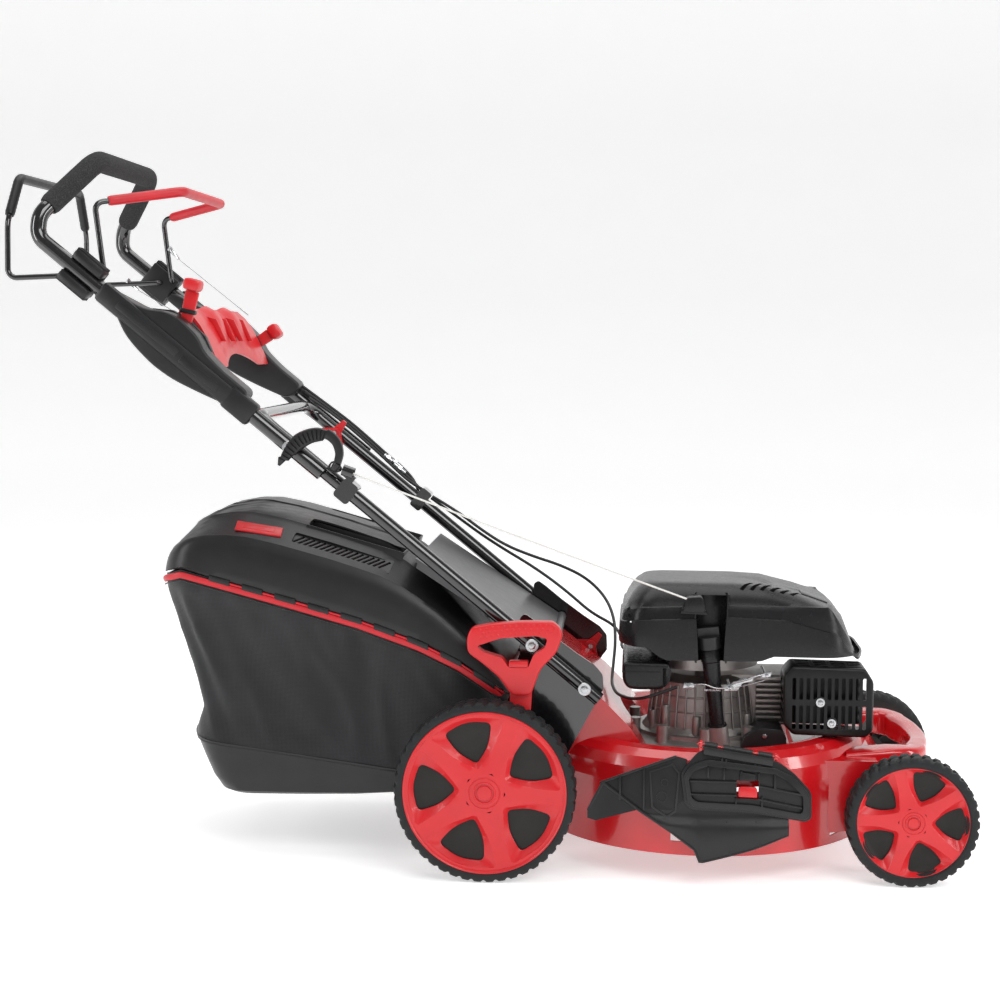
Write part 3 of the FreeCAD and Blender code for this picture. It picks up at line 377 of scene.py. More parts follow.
def join(name, objects):
    target = objects[0]
    if len(objects) > 1:
        with bpy.context.temp_override(active_object=target, selected_editable_objects=objects):
            bpy.ops.object.join()
    target.name = name
    target.data.name = name
    return target


def smooth_line(points, per_run=8):
    """A Catmull-Rom line through 3-D points."""
    pts = [Vector(p) for p in points]
    line = []
    for index in range(len(pts) - 1):
        a = pts[index - 1] if index else pts[0] * 2 - pts[1]
        b, c = pts[index], pts[index + 1]
        d = pts[index + 2] if index + 2 < len(pts) else c * 2 - b
        for step in range(per_run):
            t = step / per_run
            line.append(0.5 * (2 * b + (c - a) * t + (2 * a - 5 * b + 4 * c - d) * t * t
                               + (3 * b - a - 3 * c + d) * t ** 3))
    line.append(pts[-1])
    return line


def filleted(points, radii, steps=8):
    """A 3-D path whose inner corners are rounded to the given radii."""
    pts = [Vector(p) for p in points]
    line = [pts[0]]
    for index in range(1, len(pts) - 1):
        here = pts[index]
        back = (pts[index - 1] - here).normalized()
        ahead = (pts[index + 1] - here).normalized()
        half = back.angle(ahead) / 2
        reach = radii[index - 1] / math.tan(half)
        start, end = here + back * reach, here + ahead * reach
        centre = here + (back + ahead).normalized() * (radii[index - 1] / math.sin(half))
        for step in range(steps + 1):
            spot = start.lerp(end, step / steps) - centre
            line.append(centre + spot.normalized() * radii[index - 1])
    line.append(pts[-1])
    return line


def tube(name, line, radius, sides=16, flat=1.0, caps=True, wobble=None):
    """A swept round tube; radius may be a number or one per point."""
    rings = []
    previous = None
    for index, point in enumerate(line):
        ahead = line[min(index + 1, len(line) - 1)] - line[max(index - 1, 0)]
        ahead.normalize()
        if previous is None:
            side = ahead.cross(Vector((0, 0, 1)))
            if side.length < 0.1:
                side = ahead.cross(Vector((1, 0, 0)))
        else:
            side = previous - ahead * previous.dot(ahead)
        side.normalize()
        previous = side
        up = side.cross(ahead)
        r = radius[index] if isinstance(radius, (list, tuple)) else radius
        ring = []
        for turn in range(sides):
            angle = 2 * math.pi * turn / sides
            reach = r * (wobble(index, turn) if wobble else 1.0)
            ring.append(point + side * (reach * math.cos(angle)) + up * (flat * reach * math.sin(angle)))
        rings.append(ring)
    return loops(name, rings, cap_start=caps, cap_end=caps)


def lathe(name, profile, centre, axis_y=True, steps=96, closed=True):
    """Turn a profile of (radius, along) round Y, or round Z."""
    rings = []
    for step in range(steps):
        angle = 2 * math.pi * step / steps
        c, s = math.cos(angle), math.sin(angle)
        ring = []
        for r, along in profile:
            if axis_y:
                ring.append((centre[0] + r * c, along, centre[2] + r * s))
            else:
                ring.append((centre[0] + r * c, centre[1] + r * s, along))
        rings.append(ring)
    return loops(name, rings, closed=closed, closed_rings=True)


HANDLE_FOOT = Vector((188.0, 0.0, 269.0))
HANDLE_ALONG = Vector((math.cos(math.radians(140.5)), 0, math.sin(math.radians(140.5))))
HANDLE_UP = Vector((-HANDLE_ALONG.z, 0, HANDLE_ALONG.x)) * -1


def on_handle(s, n, y):
    """A point at distance s up the handle's line, n above it."""
    point = HANDLE_FOOT + HANDLE_ALONG * s + HANDLE_UP * n
    return Vector((point.x, y, point.z))


# ---- wheels -----------------------------------------------------------------
def ray_to(outline, centre, angle):
    """Where a ray from the centre meets a closed outline."""
    dx, dy = math.cos(angle), math.sin(angle)
    best = None
    for index, (ax, ay) in enumerate(outline):
        bx, by = outline[(index + 1) % len(outline)]
        ex, ey = bx - ax, by - ay
        cross = dx * ey - dy * ex
        if abs(cross) < 1e-12:
            continue
        t = ((ax - centre[0]) * ey - (ay - centre[1]) * ex) / cross
        u = ((ax - centre[0]) * dy - (ay - centre[1]) * dx) / cross
        if t > 0 and -1e-9 <= u <= 1 + 1e-9 and (best is None or t < best):
            best = t
    return (centre[0] + dx * best, centre[1] + dy * best)


def polar(radius, degrees):
    angle = math.radians(degrees)
    return (radius * math.cos(angle), radius * math.sin(angle))


def fan(radius, half, steps=12):
    """An arc of a circle from -half to +half degrees."""
    return [polar(radius, half * (2 * step / steps - 1)) for step in range(steps + 1)]


def wheel_cover(name, axle, radius, out, side, first_angle, body, node):
    """Five-spoke cover: flat spokes, sloped pockets, rounded windows, hub rings."""
    hub, rim = 0.215 * radius, 0.862 * radius
    middle = (0.56 * radius, 0.0)
    wedge = fan(rim, 36.0, 16) + list(reversed(fan(hub, 36.0, 8)))
    pocket = rounded([polar(0.262 * radius, 0), polar(0.50 * radius, -25.6),
                      polar(0.845 * radius, -30.0), polar(0.872 * radius, 0),
                      polar(0.845 * radius, 30.0), polar(0.50 * radius, 25.6)],
                     [0.05 * radius, 0.12 * radius, 0.05 * radius, 0.2 * radius,
                      0.05 * radius, 0.12 * radius])
    window = rounded([polar(0.315 * radius, 0), polar(0.52 * radius, -20.0),
                      polar(0.775 * radius, -20.5), polar(0.805 * radius, 0),
                      polar(0.775 * radius, 20.5), polar(0.52 * radius, 20.0)],
                     [0.06 * radius, 0.14 * radius, 0.07 * radius, 0.2 * radius,
                      0.07 * radius, 0.14 * radius])
    count = 72
    top = out - 3.0

    def crown(x, y):
        reach = math.hypot(x, y) / radius
        return top - 2.2 * math.sin(math.pi * min(1.0, max(0.0, (reach - 0.2) / 0.66)))

    def ease(a, b, t):
        return (a[0] + (b[0] - a[0]) * t, a[1] + (b[1] - a[1]) * t)

    verts, faces = [], []
    for sector in range(5):
        turn = math.radians(first_angle + 72 * sector)
        base = len(verts)
        rows = []
        for step in range(count):
            angle = 2 * math.pi * step / count
            w = ray_to(wedge, middle, angle)
            p = ray_to(pocket, middle, angle)
            n = ray_to(window, middle, angle)
            chain = [(w, crown(*w)), (ease(w, p, 0.5), crown(*ease(w, p, 0.5))),
                     (ease(w, p, 0.93), crown(*ease(w, p, 0.93))), (p, crown(*p) - 0.5),
                     (ease(p, n, 0.12), crown(*p) - 1.6),
                     (ease(p, n, 0.93), out - 10.6), (n, out - 11.4), (n, out - 13.0)]
            rows.append(chain)
        levels = len(rows[0])
        for chain in rows:
            for (x, y), height in chain:
                verts.append((x * math.cos(turn) - y * math.sin(turn), height,
                              x * math.sin(turn) + y * math.cos(turn)))
        for step in range(count):
            other = (step + 1) % count
            for level in range(levels - 1):
                faces.append((base + step * levels + level, base + other * levels + level,
                              base + other * levels + level + 1, base + step * levels + level + 1))
    rings = [(rim, crown(rim, 0)), (0.874 * radius, top + 0.4), (0.882 * radius, out - 1.2),
             (0.889 * radius, out - 0.6), (0.898 * radius, out - 1.0), (0.906 * radius, out - 3.0),
             (0.906 * radius, out - 8.0)]
    hub_rings = [(hub, crown(hub, 0)), (0.176 * radius, top + 0.1), (0.172 * radius, top - 0.6),
                 (0.164 * radius, top - 0.6), (0.160 * radius, top + 0.2), (0.126 * radius, top + 0.4),
                 (0.120 * radius, top + 1.6), (0.108 * radius, top + 1.6), (0.102 * radius, top - 0.6),
                 (0.084 * radius, top - 0.6), (0.078 * radius, top + 1.3), (0.03 * radius, top + 1.8),
                 (0.001, top + 1.8)]
    for ring_set in (rings, hub_rings):
        base = len(verts)
        angles = []
        for sector in range(5):
            arc = 24
            for step in range(arc):
                angles.append(math.radians(first_angle + 72 * sector - 36 + 72 * step / arc))
        for r, height in ring_set:
            for angle in angles:
                verts.append((r * math.cos(angle), height, r * math.sin(angle)))
        size = len(angles)
        for row in range(len(ring_set) - 1):
            for index in range(size):
                other = (index + 1) % size
                faces.append((base + row * size + index, base + row * size + other,
                              base + (row + 1) * size + other, base + (row + 1) * size + index))
    placed = [(axle[0] + x, side * height, axle[1] + z) for x, height, z in verts]
    obj = from_faces(name, placed, faces, merge=0.12)
    return settle(obj, body, "red_plastic", [node], sharp=24)


def tread(name, axle, radius, out, width, side, body, node, lugs):
    """A tyre with chunky lugs that notch both edges of the tread."""
    inner = out - width
    half = width / 2
    profile = [(-13.0, 0.4, 0), (-9.0, -0.0, 0), (-5.2, 0.3, 1), (-2.4, 1.6, 1), (-0.4, 4.6, 1),
               (0.0, 8.0, 1), (0.0, half - 5.0, 1), (-0.3, half - 1.6, 1), (-3.2, half - 0.8, 0),
               (-3.2, half + 0.8, 0), (-0.3, half + 1.6, 2), (0.0, half + 5.0, 2),
               (0.0, width - 8.0, 2), (-0.4, width - 4.6, 2), (-2.4, width - 1.6, 2),
               (-5.2, width - 0.3, 2), (-9.0, width, 0), (-13.0, width - 0.4, 0),
               (-20.0, width - 8.0, 0), (-20.0, 6.0, 0)]
    per_lug = 8
    steps = lugs * per_lug
    rings = []
    for step in range(steps):
        ring = []
        for drop, across, group in profile:
            low = 0.0
            lean = 0.0
            if group:
                phase = step / per_lug + (0.5 if group == 2 else 0.0)
                place = phase % 1.0
                depth = min(1.0, max(0.0, (abs(place - 0.5) - 0.33) / 0.07))
                low = 3.4 * depth
                distance = abs(across - half) / half
                lean = (0.42 if group == 1 else -0.42) * (1 - distance)
                if distance > 0.86:
                    low *= 0.75
            angle = 2 * math.pi * (step / steps) + 2 * math.pi * lean / lugs
            r = radius + drop - low
            ring.append((axle[0] + r * math.cos(angle), side * (inner + across),
                         axle[1] + r * math.sin(angle)))
        rings.append(ring)
    obj = loops(name, rings, closed_rings=True)
    return settle(obj, body, "tyre", [node], sharp=28)


def wheel_disc(name, axle, radius, out, width, side, body, node):
    """The dark wheel behind the cover, ribbed on its hidden side."""
    inner = out - width
    seat, web = radius - 20.4, out - 14.5
    profile = [(8.1, inner + 2), (22, inner + 2), (24, web - 8), (seat - 8, web - 8),
               (seat - 5, inner + 2), (radius - 13.4, inner + 0.5), (radius - 13.4, inner + 5.6),
               (seat, inner + 6.4), (seat, out - 9), (seat - 4, out - 13.4), (seat - 8, web),
               (30, web), (26, web + 2), (8.1, web + 2)]
    obj = lathe(name, [(r, side * a) for r, a in profile], (axle[0], 0, axle[1]), steps=96)
    ribs = []
    for turn in range(10):
        angle = math.radians(36 * turn + 10)
        r = (22 + seat - 6) / 2
        spin = Matrix.Rotation(-angle, 3, "Y")
        spot = (axle[0] + r * math.cos(angle), side * (inner + web - 4) / 2,
                axle[1] + r * math.sin(angle))
        ribs.append(block("rib", spot, (seat - 28, web - inner - 12, 2.4), spin, bevel=0.5))
    obj = join(name, [obj] + ribs)
    return settle(obj, body, "wheel_grey", [node])


for place, axle, radius, out, width, first, lugs in (
        ("rear", (14.0, 140.0), 140.0, 290.0, 46.0, 33.0, 46),
        ("front", (664.0, 100.0), 100.0, 265.0, 44.0, -2.0, 36)):
    for hand, side in (("right", -1), ("left", 1)):
        tail = place + "_" + hand
        body = "wheel_" + tail + "_body"
        wheel_cover("cover_" + tail, axle, radius, out, side, first, body, "hub_cover_" + tail)
        tread("tread_" + tail, axle, radius, out, width, side, body, "tyre_" + tail, lugs)
        wheel_disc("disc_" + tail, axle, radius, out, width, side, body, "wheel_" + tail)


# ---- grass bag --------------------------------------------------------------
def table(points, x):
    """Straight-line value between (x, value) points."""
    if x <= points[0][0]:
        return points[0][1]
    for (x0, v0), (x1, v1) in zip(points, points[1:]):
        if x <= x1:
            return v0 + (v1 - v0) * (x - x0) / (x1 - x0)
    return points[-1][1]


LID_EDGE = [(-530, 448), (-505, 462), (-476, 470), (-446, 462), (-382, 445), (-286, 419), (-191, 392),
            (-96, 358), (-32, 327), (48, 274)]
LID_CROWN = [(-530, 452), (-520, 478), (-508, 500), (-493, 520), (-467, 540), (-440, 553), (-403, 560),
             (-372, 560), (-321, 550), (-237, 527), (-161, 502), (-127, 484), (-67, 436), (-20, 385),
             (48, 292)]
TRAY_EDGE = [(-500, 196), (-440, 188), (-425, 186), (-288, 168), (-128, 146), (-100, 160), (52, 208)]


def bag_plan(rear, front, half_width, corner, count=160, front_corner=14.0):
    """Points round a bag plan, counter-clockwise from the rear centre."""
    outline = rounded([(front, -half_width), (front, half_width), (rear + 0.30 * corner, half_width),
                       (rear, half_width - corner), (rear, -half_width + corner),
                       (rear + 0.30 * corner, -half_width)],
                      [front_corner, front_corner, corner, corner * 0.8, corner * 0.8, corner], 8)
    lengths = [0.0]
    for (ax, ay), (bx, by) in zip(outline, outline[1:] + outline[:1]):
        lengths.append(lengths[-1] + math.hypot(bx - ax, by - ay))
    points = []
    for step in range(count):
        want = lengths[-1] * step / count
        for index in range(len(outline)):
            if lengths[index + 1] >= want:
                ax, ay = outline[index]
                bx, by = outline[(index + 1) % len(outline)]
                t = (want - lengths[index]) / max(1e-9, lengths[index + 1] - lengths[index])
                points.append((ax + (bx - ax) * t, ay + (by - ay) * t))
                break
    return points


def bag_lid():
    levels = [(2.0, -0.02), (0.0, 0.02), (0.6, 0.12), (2.2, 0.30), (5.0, 0.48), (9.0, 0.59),
              (13.0, 0.645), (15.5, 0.655), (17.0, 0.662), (34.0, 0.735), (52.0, 0.815), (66.0, 0.885),
              (69.0, 0.905), (72.0, 0.935), (84.0, 0.96), (110.0, 0.98), (140.0, 0.99), (186.0, 1.0)]
    rings = []
    for inset, rise in levels:
        ring = []
        flat = min(inset, 150.0)
        for x, y in bag_plan(-527 + 0.62 * flat, 48 - 0.3 * flat, 197 - inset, 96 - 0.45 * flat):
            low, high = table(LID_EDGE, x), table(LID_CROWN, x)
            ring.append((x, y, low + (high - low) * rise))
        rings.append(ring)
    lid = loops("bag_lid_shell", rings, cap_end=True)
    lid = shell(lid, 3.0)
    slope = Matrix.Rotation(math.radians(16), 3, "Y")
    cuts, parts = [], []
    for side in (-1, 1):
        tilt = slope @ Matrix.Rotation(math.radians(side * -28), 3, "X")
        spot = Vector((-224.0, side * 158.0, 497.0))
        cuts.append(block("vent_pocket", spot, (160, 27, 26), tilt, bevel=3))
        grille = block("grille", spot - tilt @ Vector((0, 0, 8.0)), (168, 35, 3.0), tilt)
        slots = []
        for index in range(17):
            offset = tilt @ Vector((-72 + 9 * index, 0, -8))
            turn = tilt @ Matrix.Rotation(math.radians(side * 34), 3, "Z")
            slots.append(block("slot", spot + offset, (4.4, 26, 12), turn))
        parts.append(carve(grille, slots))
        cuts.append(block("finger_pocket", (-208, side * 101, 508), (160, 50, 44), slope, bevel=9))
        floor_spot = Vector((-208.0, side * 101.0, 508.0)) - slope @ Vector((0, 0, 20.5))
        parts.append(block("pocket_floor", floor_spot, (164, 54, 3), slope, bevel=1))
        for shift, size in (((0, 26.2, -9), (164, 2.4, 24)), ((0, -26.2, -9), (164, 2.4, 24)),
                            ((81, 0, -9), (2.4, 54, 24)), ((-81, 0, -9), (2.4, 54, 24))):
            wall = Vector((-208.0, side * 101.0, 508.0)) + slope @ Vector(shift)
            parts.append(block("pocket_wall", wall, size, slope, bevel=0.6))
    cuts.append(block("mouth", (70, 0, 250), (190, 350, 90)))
    lid = carve(lid, cuts)
    obj = join("bag_lid_hard", [lid] + parts)
    return settle(obj, "bag_body", "black_plastic", ["bag_lid"], sharp=30)


def lid_trim():
    """Raised clips and the red hem between them."""
    clips, hems = [], []
    for side in (-1, 1):
        for index in range(9):
            x0 = -430 + 52.5 * index
            for kind, start, length, out, low, high in (("clip", x0, 33, 199.0, -8.0, 1.0),
                                                        ("hem", x0 + 33, 19.5, 198.2, -5.6, -2.6)):
                end = min(start + length, 38)
                if start >= 30:
                    continue
                zs, ze = table(LID_EDGE, start), table(LID_EDGE, end)
                outline = [(start, zs + low), (end, ze + low), (end, ze + high), (start, zs + high)]
                inner, outer = sorted((side * 194.5, side * out))
                piece = slab(kind, outline, inner, outer, bevel=0.7)
                (clips if kind == "clip" else hems).append(piece)
    settle(join("lid_clips", clips), "bag_body", "black_plastic")
    settle(join("lid_hem_bits", hems), "bag_body", "bail_red")


def cloth_ring(level, count=220):
    """One ring of the bag's cloth: level 0 under the lid, 1 at the tray."""
    rear = table([(0.0, -522), (0.12, -521), (0.35, -510), (0.6, -490), (0.8, -474), (0.9, -476),
                  (1.0, -478)], level)
    half = table([(0.0, 194), (0.1, 192.5), (0.5, 188), (0.8, 187), (1.0, 190)], level)
    ring = []
    for x, y in bag_plan(rear, 46, half, 84, count):
        top, bottom = table(LID_EDGE, x) - 4, table(TRAY_EDGE, x) - 2
        ring.append((x, y, top + (bottom - top) * level))
    return ring


def bag_cloth():
    rows = 46
    rings = [cloth_ring(row / rows) for row in range(rows + 1)]
    soft = []
    for row, ring in enumerate(rings):
        level = row / rows
        pin = min(1.0, 7 * level, 7 * (1 - level))
        count = len(ring)
        moved = []
        for index, (x, y, z) in enumerate(ring):
            ax, ay = ring[index - 1][:2]
            bx, by = ring[(index + 1) % count][:2]
            out = Vector((by - ay, -(bx - ax), 0)).normalized()
            spot = Vector((x * 0.006, y * 0.006, z * 0.004))
            swell = noise.noise(spot + Vector((3.1, 0.4, 7.7))) * 11
            crease = abs(noise.noise(Vector((x * 0.022 + z * 0.008, y * 0.022, z * 0.006)))) * 12
            gather = 1.6 * math.sin((x - 0.35 * z) * 0.16) * math.exp(-level * 7) * min(1, 12 * level)
            sag = -5.0 * math.sin(math.pi * level)
            amount = pin * (swell - crease + sag) + gather
            amount = min(amount, 4.0)
            if x > 30:
                amount = min(amount, 0.0)
            moved.append((x + out.x * amount, y + out.y * amount, z))
        soft.append(moved)
    cloth = loops("bag_cloth", soft)
    cloth = shell(cloth, 1.2)
    front = block("front_cut", (90, 0, 245), (130, 352, 200))
    cloth = carve(cloth, [front])
    settle(cloth, "bag_body", "bag_mesh", ["bag_fabric"], sharp=80)
    hems = []
    for drop, radius in ((3.0, 2.7), (12.0, 1.0)):
        line = []
        for x, y in bag_plan(-525.5, 44, 196.2 if radius > 2 else 194.6, 86, 200):
            line.append(Vector((x, y, table(LID_EDGE, x) - 8.5 - drop)))
        start = next(i for i, p in enumerate(line) if p.x < 30 and p.y > 0)
        open_line = [p for p in line[start:] + line[:start] if p.x < 36]
        hems.append(tube("piping", open_line, radius, sides=8, flat=1.0 if radius < 2 else 1.9))
    settle(hems[0], "bag_body", "bail_red")
    settle(hems[1], "bag_body", "bag_mesh")
    hems[0].name, hems[1].name = "bag_piping", "bag_stitch_line"


def bag_tray():
    levels = [(0.0, 0.0), (1.0, 0.06), (1.5, 0.35), (3.0, 0.7), (8.0, 0.93), (16.0, 1.0), (60.0, 1.0),
              (120.0, 1.0)]
    floor_line = [(-500, 110), (-446, 104), (-410, 102), (-289, 103), (-200, 105), (-137, 109),
                  (-100, 150), (52, 206)]
    rings = []
    for inset, drop in levels:
        ring = []
        for x, y in bag_plan(-479 + 34 * drop + inset, -110 - 12 * drop - inset * 0.3, 190.5 - inset, 84):
            top = table(TRAY_EDGE, x) + 3
            ring.append((x, y, top + (table(floor_line, x) - top) * drop))
        rings.append(ring)
    obj = shell(loops("bag_tray_hard", rings, cap_end=True), 2.5)
    ribs = []
    for index in range(5):
        y = -120 + 60 * index
        ribs.append(block("rib", (-290, y, 104.5), (240, 4, 4), None, bevel=1.0))
    settle(join("bag_tray_hard", [obj] + ribs), "bag_body", "black_plastic", ["bag_tray"], sharp=40)


bag_lid()
lid_trim()
bag_cloth()
bag_tray()


# ---- engine cover -------------------------------------------------------------
def plan_ring(corners, radius, count=128):
    outline = rounded(corners, radius, 6)
    lengths = [0.0]
    for (ax, ay), (bx, by) in zip(outline, outline[1:] + outline[:1]):
        lengths.append(lengths[-1] + math.hypot(bx - ax, by - ay))
    points = []
    for step in range(count):
        want = lengths[-1] * step / count
        index = next(i for i in range(len(outline)) if lengths[i + 1] >= want)
        ax, ay = outline[index]
        bx, by = outline[(index + 1) % len(outline)]
        t = (want - lengths[index]) / max(1e-9, lengths[index + 1] - lengths[index])
        points.append((ax + (bx - ax) * t, ay + (by - ay) * t))
    return points


SHROUD_TOP = [(205, 424), (231, 436), (260, 440), (400, 439), (450, 436), (505, 422), (556, 404),
              (575, 390), (596, 345), (625, 300)]
SHROUD_CREASE = [(205, 392), (249, 404), (400, 410), (549, 408), (575, 366), (600, 322), (625, 300)]
SHROUD_SECOND = [(205, 376), (249, 386), (400, 392), (480, 388), (560, 366), (600, 318), (625, 298)]
SHROUD_LOW = [(205, 346), (221, 344), (262, 342), (276, 330), (290, 322), (440, 322), (460, 330),
              (625, 328)]


def engine_shroud():
    outer = [(216, -104), (238, -141), (556, -141), (592, -112), (606, -60), (606, 60), (588, 114),
             (238, 118), (216, 84)]
    levels = [(0.0, SHROUD_LOW, 0.0), (-0.5, SHROUD_LOW, 0.08), (0.0, SHROUD_LOW, 0.5),
              (2.0, SHROUD_LOW, 0.98), (3.4, SHROUD_LOW, 1.0), (5.0, SHROUD_SECOND, 0.0),
              (6.5, SHROUD_SECOND, 0.5), (8.5, SHROUD_SECOND, 0.95), (9.0, SHROUD_CREASE, 0.0),
              (12.5, SHROUD_CREASE, 0.04), (16.0, SHROUD_CREASE, 0.24), (24.0, SHROUD_CREASE, 0.52),
              (34.0, SHROUD_CREASE, 0.76), (46.0, SHROUD_CREASE, 0.94), (58.0, SHROUD_CREASE, 1.0),
              (80.0, SHROUD_TOP, 0.0), (110.0, SHROUD_TOP, 0.0)]
    rings = []
    for inset, line, rise in levels:
        ring = []
        corners = []
        for x, y in outer:
            cx, cy = 411, -12
            reach = 1 - inset / 132
            corners.append((cx + (x - cx) * (1 - inset / 230), cy + (y - cy) * reach))
        for x, y in plan_ring(corners, 22):
            top = {id(SHROUD_LOW): SHROUD_SECOND, id(SHROUD_SECOND): SHROUD_CREASE,
                   id(SHROUD_CREASE): SHROUD_TOP, id(SHROUD_TOP): SHROUD_TOP}[id(line)]
            low, high = table(line, x), table(top, x)
            ring.append((x, y, low + (high - low) * rise))
        rings.append(ring)
    cover = loops("engine_shroud_skin", rings, cap_end=True)
    cover = shell(cover, 3.0)
    cuts = [slab("rear_window", [(200, 370), (200, 300), (300, 300), (300, 305)], -60, 60)]
    for row in range(6):
        x = 414 + 15.5 * row
        turn = Matrix.Rotation(math.radians(-26), 3, "Z")
        cuts.append(block("vent", (x + 6, -88, 424), (6.6, 44 - 2 * row, 44), turn))
    for row in range(3):
        cuts.append(block("rear_vent", (226 + 4 * row, -108 - 8 * row, 400 - 9 * row), (46, 12, 4.4),
                          Matrix.Rotation(math.radians(8), 3, "Y")))
    recess = bpy.data.meshes.new("recess")
    work = bmesh.new()
    bmesh.ops.create_cone(work, cap_ends=True, segments=32, radius1=22 * MM, radius2=27 * MM,
                          depth=150 * MM, matrix=Matrix.Translation(mm(362, -129, 349)))
    work.to_mesh(recess)
    work.free()
    cuts.insert(0, add_object("recess", recess))
    cover = carve(cover, cuts)
    cup = []
    for step in range(25):
        angle = math.radians(-20 + 220 * step / 24)
        ring = []
        for z, r in ((318, 23.5), (330, 24.2), (400, 26), (428, 27)):
            ring.append((362 + r * math.cos(angle), -129 + r * math.sin(angle), z))
        cup.append(ring)
    liner = shell(loops("cup", cup, closed=False), 2.0, 1.0)
    outlet = slab("outlet", [(316, 404), (322, 426), (346, 428), (352, 414), (350, 402)], -164, -138,
                  radius=4, bevel=2)
    lip = slab("outlet_lip", [(312, 400), (316, 408), (352, 406), (356, 398)], -158, -138, bevel=1.2)
    under = block("vent_floor", (458, -84, 396), (110, 60, 2), Matrix.Rotation(math.radians(4), 3, "Y"))
    badge = block("badge", (530, -46, 413.4), (44, 50, 2.4), Matrix.Rotation(math.radians(19.4), 3, "Y"),
                  bevel=1.0)
    obj = join("engine_shroud_cover", [cover, liner, outlet, lip, under, badge])
    return settle(obj, "chassis", "shroud_black", ["engine_shroud"], sharp=34)


engine_shroud()


# ---- handle, bails, console and levers -----------------------------------------------
def even_points(route, step):
    """Points along a route, about a step apart and with every corner kept."""
    line = []
    for a, b in zip(route, route[1:]):
        parts = max(1, round((b - a).length / step))
        line.extend(a.lerp(b, k / parts) for k in range(parts))
    return line + [route[-1]]


def foam_grip():
    """Foam sleeve round the grip bar, slightly uneven, with blunt ends."""
    half = [Vector((-681, -221, 1022)), Vector((-611, -150, 1110))]
    toward = (half[1] - half[0]).normalized()
    start = half[0] + toward * 20
    corners = [start, half[1], Vector((-611, 150, 1110)), Vector((start.x, -start.y, start.z))]
    route = filleted(corners, [40, 40], 14)
    line = even_points(route, 7)
    radii = [17.0] * len(line)
    radii[0] = radii[-1] = 15.4

    def uneven(index, turn):
        return 1.0 - 0.016 * abs(noise.noise(Vector((index * 0.35, turn * 0.5, 1.7))))

    sleeve = tube("foam_grip_sleeve", line, radii, sides=28, wobble=uneven)
    settle(sleeve, "upper_handle_body", "foam", ["foam_grip"], sharp=60)


foam_grip()


def loop_route(half, radii, steps):
    """A symmetrical bent rod from half of its corners."""
    points = [Vector(p) for p in half]
    points += [Vector((p.x, -p.y, p.z)) for p in reversed(points)]
    return filleted(points, list(radii) + list(radii)[::-1], steps)


def grip_sleeve(name, half, radius_at_corner, radius, body, slot, node, grooves):
    start = Vector(half[0])
    corners = [start] + [Vector(p) for p in half[1:]]
    route = loop_route(corners, [radius_at_corner] * (len(half) - 1), steps=10)
    line = even_points(route, 4)
    radii = []
    for index in range(len(line)):
        edge = min(index, len(line) - 1 - index)
        r = radius * (1 - 0.045 * (index % 2 if grooves else 0))
        radii.append(r * (0.86 if edge == 0 else 1.0))
    sleeve = tube(name, line, radii, sides=18)
    settle(sleeve, body, slot, [node], sharp=50)


drive = [(-610, -212.2, 930), (-610, -199, 930), (-742, -199, 925), (-741, -197, 1012), (-737, -150, 1084)]
low, high = Vector(drive[3]), Vector(drive[4])
grip_sleeve("drive_bail_pad", [low + (high - low).normalized() * 14, high], 22, 8.0, "drive_bail_body",
            "black_plastic", "drive_bail_grip", True)
brake = [(-588, -212.2, 932), (-588, -199, 932), (-601, -199, 1041), (-479, -130, 1063)]
low, high = Vector(brake[2]), Vector(brake[3])
grip_sleeve("brake_bail_pad", [low + (high - low).normalized() * 22, high], 20, 8.0, "brake_bail_body",
            "bail_red", "brake_bail_grip", False)


def bail_pivots():
    """Ribbed clamp bars above and below each upper tube, with the bearing plate."""
    parts = []
    for side in (-1, 1):
        for n_mid in (20, -20):
            bar = block("bar", on_handle(1039, n_mid, side * 225), (58, 29, 18), Matrix.Rotation(
                -math.radians(140.5), 3, "Y"), bevel=6.5)
            parts.append(bar)
            for rib in range(4):
                ridge = block("ridge", on_handle(1039, n_mid * 1.06, side * (216 + 6 * rib)), (56, 1.6, 18.5),
                              Matrix.Rotation(-math.radians(140.5), 3, "Y"), bevel=0.6)
                parts.append(ridge)
        plate = block("plate", on_handle(1039, 0, side * 209.2), (56, 6.4, 50),
                      Matrix.Rotation(-math.radians(140.5), 3, "Y"), bevel=2.5)
        parts.append(plate)
    obj = join("bail_clamps", parts)
    settle(obj, "upper_handle_body", "black_plastic", ["bail_pivots"])


bail_pivots()


CONSOLE = [(-598, 902), (-582, 912), (-514, 876), (-482, 873), (-460, 862), (-432, 834), (-422, 810),
           (-395, 782), (-351, 746), (-377, 723), (-416, 740), (-446, 754), (-474, 768), (-505, 790),
           (-532, 818), (-548, 839), (-563, 873)]


